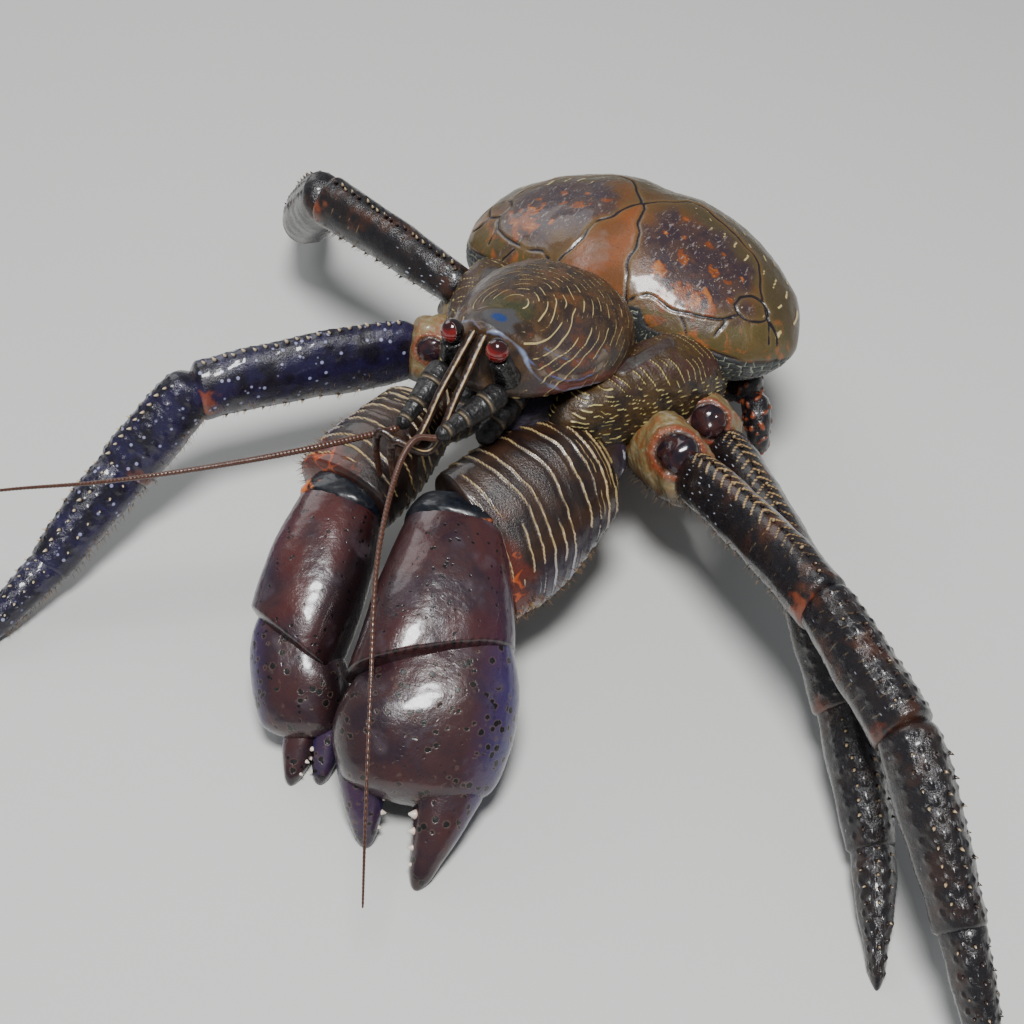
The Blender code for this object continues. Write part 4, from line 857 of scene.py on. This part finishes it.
# The hinge skin's share of the wrist's length, and how many mm it stands proud at even steps along it
SKIN_LENGTH = 0.19
SKIN_GROWTH = (0.3, 0.9, 1.1, 0.7, -1.2)
claw_shells = {}
for word, pieces in CLAWS.items():
    outward = 1 if word == "left" else -1
    for piece, (base, tip, dorsal, stations) in pieces.items():
        slant = [lean * outward for lean in CLAW_SLANTS.get(piece, (0.0, 0.0))]
        name = "claw_" + word + "_" + piece
        sides, rings = CLAW_DETAIL[word].get(piece, SMALL_DETAIL)
        shell = Shell(name, base, tip, dorsal, stations, sides=sides, rings=rings,
                      caps=CLAW_CAPS.get(piece, SMALL_CAPS), power=2.4, slant=slant, crowd=0.35)
        claw_shells[name] = shell
        at = shell.corners() / MM
        far, wide = shell.local[:, 0], shell.local[:, 1]
        out = -wide * outward
        broadest = np.max(np.abs(wide))
        outer = step(out / broadest, 0.35, 0.95)
        to_end = (1 - shell.at) * shell.length
        wrist = piece == "carpus"
        if piece in ("merus", "coxa"):
            bow = 5.5 * (wide / 26) ** 2
            field = (far - bow) / TERRACE + 0.13 * swirl(at, 26, 30) + 0.04 * swirl(at, 8, 31)
            beside = wide + shell.turn * 0.3
            lip, ledge = terraces(field, beside, 2.0, dash=24, width=0.060, gaps=-0.55)
            thin, _ = terraces(field * 2 + 0.4, beside, 4.0, dash=6, width=0.12, gaps=0.35)
            broken, _ = terraces(field, wide * 1.3 + shell.turn * 0.4, 6.0, dash=9, width=0.08, gaps=0.0)
            thin = 0.85 * thin * np.maximum(step(-far, -32, -16), outer)
            lip = np.maximum(np.where(outer > 0.3, broken, lip), thin)
            fade = step(-shell.at, -0.95, -0.90)
            shell.lift((0.60 * ledge + 0.22 * lip) * fade + 0.2 * swirl(at, 24, 33))
            rim = step(shell.at + 0.08 * swirl(at, 14, 34) + 0.10 * step(out, 2, 18), 0.80, 0.93)
            rim = rim * step(out, -14, 12) * (piece == "merus")
            vein = 1 - np.abs(swirl(at, 12, 64)) * 2.2 - 0.3 * step(to_end, 5, 14)
            shell.mark(lip=lip * fade, outer=outer * (1 - rim), rim=rim, vein=np.clip(vein, 0, 1))
            material, slot = merus_mat, "claw_merus"
        else:
            shell.lift(0.22 * swirl(at, 30, 35) + 0.05 * swirl(at, 9, 36))
            edge = np.zeros(len(at))
            if wrist:
                wave = np.sin(wide * 2 * np.pi / 2.7 + np.sign(shell.turn) + 1.5 * swirl(at, 9, 65))
                edge = bell(to_end - 2.4, 1.0) * step(wave, 0.1, 0.7) + step(-to_end, -0.9, -0.3)
            if piece in ("fixed", "finger"):
                edge = 0.5 * step(shell.at, 0.7, 1.0)
            tissue = step(-shell.at, -0.15, -0.09) * step(out + 2 * swirl(at, 6, 74), 7, 13) * wrist
            inner = step(wide * outward / broadest, 0.45, 0.9) * (0.4 if word == "left" else 1.0)
            warmth = 0.25 if not wrist else 0.6 if word == "left" else 1.0
            shell.mark(outer=outer * (0.25 if wrist else 1.0) + (0.35 if piece == "finger" else 0),
                       edge=edge, inner=inner, tissue=tissue,
                       warm=warmth * step(swirl(at, 26, 37), -0.3, 0.7),
                       pitted=np.full(len(at), 0.0 if wrist else 1.0),
                       dented=np.full(len(at), 1.0 if wrist or word == "right" else 0.3),
                       sheen=step(swirl(at, 18, 38), 0.0, 0.8))
            material, slot = claw_mat, "claw"
        node = "claw_" + word + "_palm" if piece == "fixed" else name
        shell.done(material, slot, node)
    # The dark hinge skin of the elbow shows as a narrow glossy band round the root of the wrist
    base, tip, dorsal, stations = pieces["carpus"]
    base, tip = np.array(base), np.array(tip)
    root = smooth([full(*station) for station in stations], np.linspace(0, SKIN_LENGTH, len(SKIN_GROWTH)))
    skin = [(k / (len(SKIN_GROWTH) - 1), half + more, top + more, low + more, shift, lift)
            for k, ((half, top, low, shift, lift), more) in enumerate(zip(root.T, SKIN_GROWTH))]
    collar = Shell("claw_" + word + "_hinge_skin", base, base + (tip - base) * SKIN_LENGTH, dorsal, skin,
                   sides=120, rings=60, caps=(0.08, 0.08), power=2.4)
    at = collar.corners() / MM
    tissue = step(-collar.local[:, 1] * outward + 2.5 * swirl(at, 5, 66), 9, 13) * step(collar.at, 0.35, 0.5)
    collar.lift(0.08 * swirl(at, 4, 66) + 0.5 * tissue)
    collar.mark(orange=tissue)
    collar.done(membrane_mat, "claw")
# Hairs: root radius in mm, how far they stray from upright, and height above the floor as a share of length
HAIR_RADIUS = 0.13
HAIR_SPREAD = 0.25
FLOOR_CLEARANCE = 1.3


def bristles(shell, where, count, length, slot, seed, lean=(0, 0, 0)):
    """Stiff brown hairs scattered over the part of a shell that a mask picks out."""
    dice = np.random.default_rng(seed)
    picked = dice.choice(np.flatnonzero(where), count)
    co, facing = shell.corners()[picked], shell.normals()[picked]
    ways = facing + dice.normal(size=(count, 3)) * HAIR_SPREAD + np.array(lean)
    clear = co[:, 2] > length * MM * FLOOR_CLEARANCE
    sizes = [(HAIR_RADIUS, length * dice.uniform(0.5, 1.1)) for _ in range(count)]
    roots = [(place, way, size) for place, way, size, keep in zip(co, ways, sizes, clear) if keep]
    prickles(shell.ob.name + "_bristles", *zip(*roots), bristle_mat, slot, sides=3, sink=0.4)


f = Finish("bristle")
f.colour = f.mix((150, 116, 78), (60, 40, 28), f["root"].rise(0.2, 0.9))
bristle_mat = f.done(0.4)
for word, outward in (("left", 1), ("right", -1)):
    shell = claw_shells["claw_" + word + "_merus"]
    wide = shell.local[:, 1] * outward
    bristles(shell, (wide < -0.8 * np.max(np.abs(wide))) & (shell.at > 0.1), 260, 3.2, "claw_merus", 81)
# The teeth: claw, finger, the side they face, size of the first in mm and count
TEETH = (("left", "finger", -1, 2.9, 5), ("left", "fixed", 1, 2.9, 5),
         ("right", "finger", 1, 1.9, 4), ("right", "fixed", -1, 1.9, 4))
TOOTH_START, TOOTH_RUN = 0.30, 0.52
TOOTH_SHRINK = 0.13
TOOTH_HEIGHT_SHARE = 0.9
for word, piece, facing, size, count in TEETH:
    shell = claw_shells["claw_" + word + "_" + piece]
    row = []
    for k in range(count):
        radius = size * (1 - TOOTH_SHRINK * k)
        place, out = pick(shell, TOOTH_START + TOOTH_RUN * k / (count - 1), -90 * facing)
        row.append((place, out, (radius, radius * TOOTH_HEIGHT_SHARE)))
    prickles("claw_" + word + "_" + piece + "_teeth", *zip(*row), tooth_mat, "claw", sides=16, sink=1.5)

# Walking legs: long four-edged limbs of dark shell on ball-like hips. Short cream-lipped terraces cross
# them, forward-leaning pale-tipped spines line their edges, and the last piece tapers to a sharp toe.
# The joints from hip to toe in mm
LEGS = {
    "leg2_left": [(38, -62, 52), (70, -82, 62), (137.5, -117.5, 71),
                  (178.5, -144.5, 64), (217, -180, 36), (246, -207, 0)],
    "leg2_right": [(-38, -62, 52), (-60, -75, 56), (-109, -143, 60),
                   (-122, -172, 34), (-127, -213, 14), (-131, -252, 0)],
    "leg3_left": [(38, -40, 50), (67, -52, 52), (122, -96, 50),
                  (152, -121, 30), (180, -154, 12), (200, -190, 0)],
    "leg3_right": [(-40, -38, 46), (-56, -46, 67), (-125, -40, 78),
                   (-151, -24, 46), (-178, 10, 16), (-194, 50, 0)],
}
SEGMENTS = ("coxa", "merus", "carpus", "propodus", "dactylus")
# The stations of each piece from its upper joint
SECTIONS = {
    "coxa": ((0.0, 11, 13, 13), (0.5, 13, 15, 15), (1.0, 10, 12, 13)),
    "merus": ((0.0, 8, 10, 11), (0.25, 9, 12, 12, 0, 1), (0.7, 9.5, 12, 12, 0, 1), (1.0, 10, 11, 12)),
    "carpus": ((0.0, 9, 10, 10), (0.4, 10, 12, 11), (1.0, 10.5, 12, 11)),
    "propodus": ((0.0, 9.5, 11, 10.5), (0.3, 10, 11.5, 10.5, 0, 1), (0.7, 9, 10, 9.5, 0, 1),
                 (1.0, 8, 8.5, 8.5)),
    "dactylus": ((0.0, 7.5, 8, 7.5), (0.4, 6.5, 7, 6.5, 0, 2), (0.8, 3.5, 4.2, 4, 0, 1), (1.0, 1.5, 2, 2)),
}
JOINT_SINK = 0.006
# Depth of the rounded ends in mm
LEG_ROUNDING = {"coxa": (4, 4), "merus": (7, 4), "carpus": (6, 3.5), "propodus": (6, 3), "dactylus": (5, 6)}
# The upper piece of each leg: share of the usual height above and depth below, and lift in millimetres
MERUS_SHAPE = {
    "leg2_left": ((1.0, 1.0, 0), (1.0, 0.8, 2), (1.0, 0.85, 2), (1.0, 1.0, 0)),
    "leg2_right": ((1.0, 1.35, 0), (1.0, 1.4, 1), (1.0, 1.15, 1), (1.0, 1.1, 0)),
    "leg3_left": ((0.65, 0.8, 0), (0.75, 0.85, 1), (0.9, 1.0, 1), (1.0, 1.0, 0)),
    "leg3_right": ((0.72, 0.72, 0), (0.72, 0.72, 1), (0.85, 0.85, 1), (1.0, 1.0, 0)),
}


def leg_sections(leg, segment):
    """The stations of one piece of a leg."""
    if segment != "merus":
        return SECTIONS[segment]
    return [(at, half, top * above, low * below, 0, lift)
            for (at, half, top, low, *_), (above, below, lift) in zip(SECTIONS[segment], MERUS_SHAPE[leg])]


# The rows of spines: angle from the back, start and end along the piece, count and height in mm
SPINES = {
    "merus": ((0, 0.10, 0.93, 20, 1.9), (150, 0.30, 0.88, 8, 1.5)),
    "carpus": ((10, 0.20, 0.88, 9, 1.7), (-30, 0.3, 0.85, 5, 1.3)),
    "propodus": ((20, 0.12, 0.88, 10, 1.6), (-40, 0.18, 0.85, 9, 1.4), (75, 0.2, 0.8, 6, 1.2)),
    "dactylus": ((0, 0.12, 0.75, 8, 1.2), (60, 0.15, 0.7, 6, 1.1), (-60, 0.15, 0.7, 6, 1.1)),
}


def leg_finish(name, dark, light, spots):
    """Leg shell: dark and glossy, crossed by cream lips, with pale spots where it is blue."""
    f = Finish(name)
    patchy = f.noise(8, 4)
    fine = f.noise(0.7, 4)
    f.colour = f.mix(dark, light, patchy.rise(0.36, 0.64))
    f.over((74, 40, 22), f["warm"] * patchy.rise(0.42, 0.62) * 0.6)
    dot = (0.22 - f.cells(3.8)).rise(0.0, 0.09) * f.noise(9, 1).rise(0.36, 0.46)
    f.over((158, 160, 196), dot * spots)
    f.over((12, 10, 13), fine.rise(0.5, 0.76) * 0.55)
    f.over((158, 130, 88), f["lip"].rise(0.28, 0.75) * 0.95)
    f.over((176, 184, 200), f["dashes"].rise(0.3, 0.75) * 0.9)
    f.over((150, 72, 36), f["rim"] * (0.2 + patchy * 1.1).clamped())
    f.over((6, 5, 8), f["pore"] * 0.9)
    return f.done(0.18 + fine * 0.24, fine + f.noise(0.3, 3) * 0.5 + dot * 0.3, bump=0.3, coat=0.5)


leg_mats = {"leg": leg_finish("leg", (15, 12, 18), (31, 22, 21), 0.0),
            "leg_blue": leg_finish("leg_blue", (31, 24, 60), (16, 12, 26), 0.85)}
f = Finish("hip")
patchy = f.noise(5, 4, 0.6, 0.6)
fine = f.noise(0.8, 4)
wart = f.cells(1.3)
f.colour = f.mix((122, 106, 70), (124, 80, 44), patchy.rise(0.48, 0.64))
f.over((158, 144, 124), (1 - patchy).rise(0.54, 0.66) * 0.7)
f.over((128, 44, 24), f["collar"] * (0.45 + patchy * 0.5).clamped())
f.over((206, 138, 84), f["collar"] * (0.27 - wart).rise(0, 0.09) * 0.7)
f.over((52, 44, 40), f["under"] * 0.8)
f.over((14, 10, 12), f["groove"] * 0.9)
f.over(f.mix((28, 20, 30), (56, 30, 30), patchy.rise(0.4, 0.6)), f["condyle"])
relief = (fine + (0.4 - wart).clamped() * f["collar"] * 2.4) * (1 - f["condyle"])
hip_mat = f.done(0.34 + fine * 0.2 - f["condyle"] * 0.26, relief, bump=0.35, coat=0.3)
f = Finish("spine")
spine_tip = f.mix((64, 46, 40), (176, 152, 116), f.noise(5, 1).rise(0.5, 0.56))
f.colour = f.mix(spine_tip, (24, 17, 19), f["root"].rise(0.35, 0.85))
spine_mat = f.done(0.26, coat=0.4)
f = Finish("pale_spine")
f.colour = f.mix((206, 188, 156), (40, 32, 46), f["root"].rise(0.45, 0.95))
pale_spine_mat = f.done(0.26, coat=0.4)
# The smooth ball on each hip: the way it faces, half length and half width in mm
CONDYLES = {
    "leg2_left": ((0.42, -0.52, 0.74), 8.8, 7.0),
    "leg2_right": ((0.28, -0.70, 0.66), 5.4, 4.5),
    "leg3_left": ((0.40, -0.50, 0.76), 6.8, 6.0),
    "leg3_right": ((-0.30, -0.55, 0.78), 3.8, 3.3),
}
CONDYLE_AT = 0.55
CONDYLE_RISE = 1.9
WART_ROWS = (-75, -45, -15, 20, 50, 80)
WART_SPACING = 5.2
SPINE_LEAN = 0.55
SPINE_CLEARANCE = 0.003
chance = np.random.default_rng(17)
for leg, joints in LEGS.items():
    near_viewer, blue = leg == "leg2_left", leg == "leg2_right"
    slot = "leg_blue" if blue else "leg"
    knee_turn = -100 if leg.endswith("left") else 100
    for k, segment in enumerate(SEGMENTS):
        a, b = np.array(joints[k]) * MM, np.array(joints[k + 1]) * MM
        ahead = unit(b - a)
        a = a - ahead * (JOINT_SINK if k else 0)
        length = np.linalg.norm(b - a) / MM
        name = leg + "_" + segment
        upper = segment in ("merus", "carpus")
        shell = Shell(name, a, b, (0, 0, 1), leg_sections(leg, segment), sides=130 if near_viewer else 100,
                      rings=(180 if near_viewer else 130) if k else 110,
                      caps=[depth / length for depth in LEG_ROUNDING[segment]],
                      power=2.2, keel=0.25, crowd=0.2)
        at = shell.corners() / MM
        far, turn = shell.local[:, 0], shell.turn
        if segment == "coxa":
            way, long, wide = CONDYLES[leg]
            way = unit(way)
            middle = a + (b - a) * CONDYLE_AT
            facing = (shell.corners() - middle) / MM
            sideways = facing - np.outer(facing @ way, way)
            run = sideways @ ahead
            off = np.linalg.norm(sideways - np.outer(run, ahead), axis=1)
            oval = np.sqrt((run / long) ** 2 + (off / wide) ** 2) + np.where(facing @ way < 0, 9, 0)
            knob = np.sqrt(np.clip(1 - oval ** 2, 0, 1))
            collar = step(-oval, -1.55, -1.2) * step(oval, 0.95, 1.1)
            shell.lift(CONDYLE_RISE * knob + 0.7 * collar - 0.6 * bell(oval - 1.04, 0.09)
                       + 0.3 * swirl(at, 7, 40))
            shell.mark(condyle=step(-oval, -1.02, -0.96), collar=collar, groove=bell(oval - 1.05, 0.06),
                       under=step(-shell.up[2] * shell.local[:, 2], 2, 9))
            shell.done(hip_mat, "joint", name)
            if near_viewer:
                bristles(shell, shell.local[:, 2] < -6, 160, 4.0, "joint", 83)
            continue
        beside = np.radians(turn) * 11
        to_end = (1 - shell.at) * shell.length
        fade = step(to_end, 3, 5) * step(far, 4, 7)
        ridge = step(-np.abs(turn + 2), -46, -30)
        field = far / 4.4 - 0.5 * np.abs(turn + 2) / 30 + 0.06 * swirl(at, 12, 41)
        lip, ledge = terraces(field, beside, 6.0 + k, dash=40, width=0.11, gaps=-1.6)
        cross = far / 4.3 + 0.006 * np.abs(turn) + 0.12 * swirl(at, 18, 68)
        other, other_ledge = terraces(cross, beside, 2.0 + k, dash=9, width=0.085, gaps=0.25)
        down = beside / 2.3 + 0.2 * swirl(at, 14, 69)
        dashes, _ = terraces(down, far, 5.0 + k, dash=6, width=0.14, gaps=0.75)
        wart = np.zeros(len(at))
        if segment == "merus":
            fainter = 0.45 if leg == "leg3_right" else 1.0
            lip = lip * ridge * (1 - 0.55 * step(shell.at, 0.45, 0.95)) * fainter
            lip = np.maximum(lip, 0.55 * other * (1 - ridge) * step(shell.at, 0.35, 0.6))
            dashes = dashes * (1 - ridge) * step(-shell.at, -0.62, -0.3)
            ledge = ledge * ridge + 0.5 * other_ledge * (1 - ridge)
        else:
            lip = other * (0.5 if segment == "carpus" else 0.25)
            dashes = 0.6 * dashes * step(swirl(at, 9, 70), 0.1, 0.5)
            ledge = 0.6 * other_ledge
            for line in WART_ROWS:
                place = (far + 2.1 * (line % 4)) % WART_SPACING - WART_SPACING / 2
                wart = np.maximum(wart, np.exp(-(place ** 2 + (np.radians(turn - line) * 10) ** 2) / 0.9))
        knee = step(-np.abs(turn - knee_turn) - 14 * swirl(at, 6, 75), -34, -16)
        knee = knee * step(-to_end + 2 * swirl(at, 5, 76), -8, -4)
        knee *= (0.9 if blue else 0.7) if segment == "merus" else 0.3
        rim = np.maximum(bell(to_end - 0.4, 0.6) * 0.35, knee) if upper else 0.4 * bell(to_end, 0.8)
        shell.lift((0.28 * ledge + 0.14 * lip + 0.55 * wart) * fade + 0.22 * swirl(at, 18, 42)
                   + 0.05 * swirl(at, 5, 43))
        shell.mark(lip=lip * fade * (0.3 if blue else 1.0), dashes=dashes * fade * (0.2 if blue else 1.0),
                   rim=rim * (segment != "dactylus"),
                   pore=bell(wart - 0.35, 0.15) * fade * step(-np.radians(turn), -3, 0.2) * 0.5,
                   warm=step(swirl(at, 20, 44), 0.0, 0.7) * (0.9 if upper else 0.3) * (not blue))
        shell.done(leg_mats[slot], slot, name)
        row = []
        for tilt, start, end, count, height in SPINES[segment]:
            for n in range(count):
                along = start + (end - start) * n / (count - 1) + chance.uniform(-0.006, 0.006)
                place, out = pick(shell, along, tilt + chance.uniform(-5, 5))
                if place[2] < SPINE_CLEARANCE:
                    continue
                tall = height * chance.uniform(0.8, 1.2)
                row.append((place, unit(out + SPINE_LEAN * ahead), (0.36 * tall + 0.25, tall)))
        if segment == "merus" or blue:
            sides_below = np.abs(np.abs(turn) - 130) < 25
            bristles(shell, sides_below & (fade > 0.5), 150, 2.6, slot, 84 + k, 0.6 * ahead)
        prickles(name + "_spines", *zip(*row), pale_spine_mat if blue else spine_mat, slot, sides=7)

# The small fourth legs: short limbs tucked against the flanks, ending in little pincers with orange warts.
SMALL_LEG = {
    "merus": ((0.034, -0.016, 0.048), (0.064, -0.020, 0.052), ((0.0, 7), (0.5, 7), (1.0, 6))),
    "hand": ((0.062, -0.021, 0.052), (0.073, -0.033, 0.035), ((0.0, 5, 6, 6), (0.5, 5, 6, 6), (1.0, 2.5))),
}
for side, word in SIDES:
    for piece, (base, tip, stations) in SMALL_LEG.items():
        name = "leg4_" + word + "_" + piece
        shell = Shell(name, np.array(base) * (side, 1, 1), np.array(tip) * (side, 1, 1), (0, 0, 1), stations,
                      sides=70, rings=70, caps=(0.15, 0.15))
        at = shell.corners() / MM
        wart = step(swirl(at, 3.4, 45, 1), 0.55, 1.1)
        shell.lift(0.6 * wart + 0.2 * swirl(at, 9, 46))
        shell.mark(rim=wart, warm=wart)
        shell.done(leg_mats["leg"], "leg", name)

# Underside and abdomen: the chest hung under the carapace, and the soft bag of the abdomen folded
# forward beneath it, leathery and tufted, with four horn plates in a row over its back.
thorax = Shell("thorax", body(0, 14, -44), body(0, 142, -34), (0, 0, 1), [
    (0.00, 14, 8, 8),
    (0.20, 24, 12, 18),
    (0.60, 34, 14, 18),
    (0.85, 34, 14, 12),
    (1.00, 26, 8, 8)], sides=100, rings=110, caps=(0.1, 0.1), power=2.6)
at = thorax.corners() / MM
below = np.abs(thorax.turn) > 80
thorax.lift(0.6 * swirl(at, 12, 50) - 0.8 * bell((thorax.at * 6) % 1 - 0.5, 0.08) * below)
thorax.mark(mouth=step(-thorax.local[:, 0] + 3 * swirl(at, 6, 72), -34, -22))
f = Finish("underside")
patchy = f.noise(7, 4, 0.6, 0.6)
fine = f.noise(0.9, 4)
f.colour = f.mix((120, 84, 62), (150, 112, 84), patchy.rise(0.4, 0.62))
f.over((62, 44, 40), fine.rise(0.5, 0.75) * 0.5)
f.over(f.mix((22, 19, 28), (48, 44, 66), patchy.rise(0.46, 0.6)), f["mouth"] * 0.95)
thorax.done(f.done(0.5 + fine * 0.2, fine + patchy, bump=0.5), "underside", "thorax")
BELLY = [
    (0.00, 24, 12, 14),
    (0.15, 36, 24, 28),
    (0.40, 40, 26, 31),
    (0.70, 38, 17, 26),
    (0.90, 30, 10, 21),
    (1.00, 22, 6, 13)]
BELLY_ENDS = (np.array((0, 0.058, 0.030)), np.array((0, -0.036, 0.014)))
BELLY_CAPS = (0.2, 0.15)
belly = Shell("abdomen_belly", *BELLY_ENDS, (0, 0, 1), BELLY, sides=140, rings=140,
              caps=BELLY_CAPS, power=2.3)
at = belly.corners() / MM
fold = np.sin(belly.local[:, 0] * 2 * np.pi / 9 + 1.5 * swirl(at, 20, 51))
belly.lift(-0.5 * step(fold, 0.6, 1) + 0.5 * swirl(at, 14, 52) + 0.15 * swirl(at, 4, 53))
belly.mark(tuft=step(swirl(at, 3.0, 54, 1), 0.7, 1.1), plate=np.zeros(len(at)))
f = Finish("abdomen")
patchy = f.noise(8, 4, 0.6, 0.6)
fine = f.noise(0.8, 4)
f.colour = f.mix((84, 56, 56), (112, 78, 62), patchy.rise(0.4, 0.62))
f.over((104, 76, 34), f["plate"] * 0.75)
f.over((52, 36, 40), f["plate"] * patchy.rise(0.5, 0.66) * 0.8)
f.over((52, 34, 30), f["tuft"] * 0.8)
f.over((46, 32, 32), fine.rise(0.52, 0.75) * 0.5)
abdomen_mat = f.done(0.42 + fine * 0.2, fine + patchy * 0.6, bump=0.4, coat=0.1)
belly.done(abdomen_mat, "abdomen", "abdomen_belly")
tail = Shell("abdomen_tail", (0, -0.028, 0.011), (0, -0.060, 0.007), (0, 0, 1), [
    (0.00, 15, 5, 5),
    (0.50, 18, 4, 4),
    (1.00, 12, 2.5, 2.5)], sides=90, rings=90, caps=(0.15, 0.15), power=2.4)
at = tail.corners() / MM
tail.lift(0.25 * swirl(at, 7, 55))
tail.mark(tuft=np.zeros(len(at)), plate=np.ones(len(at)))
tail.done(abdomen_mat, "abdomen", "abdomen_tail")
TERGITE_PIVOT = np.array((0, 0.012, 0.030))
# Each plate's run round the pivot, in degrees
TERGITES = ((70, 99), (42, 69), (14, 41), (-16, 13))
TERGITE_HALF_WIDTH = 0.031
TERGITE_NARROWING = 0.002
TERGITE_THICKNESS = 0.0019
PROUD = 2.4
over_belly = [(share, *[size + PROUD for size in sizes]) for share, *sizes in BELLY]
for k, (low, high) in enumerate(TERGITES):
    name = "abdomen_tergite_" + str(k + 2)
    plate = Shell(name, BELLY_ENDS[0] + (0, PROUD * MM, 0), BELLY_ENDS[1], (0, 0, 1), over_belly,
                  sides=160, rings=190, caps=BELLY_CAPS, power=2.3)
    co = plate.corners() - TERGITE_PIVOT
    angle = np.degrees(np.arctan2(co[:, 2], co[:, 1]))
    half = TERGITE_HALF_WIDTH - TERGITE_NARROWING * k
    inside = (angle > low) & (angle < high) & (np.abs(co[:, 0]) < half)
    bm = bmesh.new()
    bm.from_mesh(plate.ob.data)
    bmesh.ops.delete(bm, geom=[v for v, keep in zip(bm.verts, inside) if not keep], context="VERTS")
    bm.to_mesh(plate.ob.data)
    bm.free()
    solidify = plate.ob.modifiers.new("thickness", "SOLIDIFY")
    solidify.thickness = TERGITE_THICKNESS
    solidify.offset = -1
    bpy.ops.object.modifier_apply(modifier="thickness")
    at = plate.corners() / MM
    plate.lift(0.2 * swirl(at, 9, 56))
    plate.mark(tuft=np.zeros(len(at)), plate=np.ones(len(at)))
    plate.done(abdomen_mat, "abdomen", name)

# The floor: a wide plain pale sheet of matt board, laid under the crab. It isn't part of the animal.
FLOOR_SIZE = 6.0
bpy.ops.mesh.primitive_plane_add(size=FLOOR_SIZE)
floor = bpy.context.object
floor.name = "floor"
floor_mat = bpy.data.materials.new("floor")
floor_mat.use_nodes = True
board = floor_mat.node_tree.nodes["Principled BSDF"].inputs
board["Base Color"].default_value = (0.62, 0.62, 0.60, 1.0)
board["Roughness"].default_value = 0.9
floor.data.materials.append(floor_mat)

# Studio light: a big soft lamp high on the viewer's side, a weaker one opposite, and pale air all round.
LAMPS = (("key_light", (0.22, -0.42, 1.1), 0.30, 17.0),
         ("fill_light", (-1.1, 0.3, 0.9), 1.0, 6.0))
AIMED_AT = Vector((0, -0.08, 0.05))
for name, at, size, watts in LAMPS:
    data = bpy.data.lights.new(name, "AREA")
    data.shape = "DISK"
    data.size = size
    data.energy = watts
    lamp = bpy.data.objects.new(name, data)
    bpy.context.scene.collection.objects.link(lamp)
    lamp.location = at
    lamp.rotation_euler = (AIMED_AT - lamp.location).to_track_quat("-Z", "Y").to_euler()
world = bpy.data.worlds.new("studio")
world.use_nodes = True
air = world.node_tree.nodes["Background"].inputs
air["Color"].default_value = (0.9, 0.95, 1.0, 1.0)
air["Strength"].default_value = 0.26
bpy.context.scene.world = world

# The camera: where the photographer stood, looking down at the crab from its left front.
AZIMUTH = math.radians(33.5)
ELEVATION = math.radians(46.6)
CAMERA_PLACE = (0.2431, -0.4598, 0.4791)
SENSOR_MM = 36
PICTURE_PIXELS = 1024
FOCAL_PIXELS = 1675
camera_data = bpy.data.cameras.new("camera")
camera_data.sensor_width = SENSOR_MM
camera_data.lens = SENSOR_MM * FOCAL_PIXELS / PICTURE_PIXELS
camera = bpy.data.objects.new("camera", camera_data)
bpy.context.scene.collection.objects.link(camera)
camera.location = CAMERA_PLACE
camera.rotation_euler = (math.pi / 2 - ELEVATION, 0, AZIMUTH)
bpy.context.scene.camera = camera
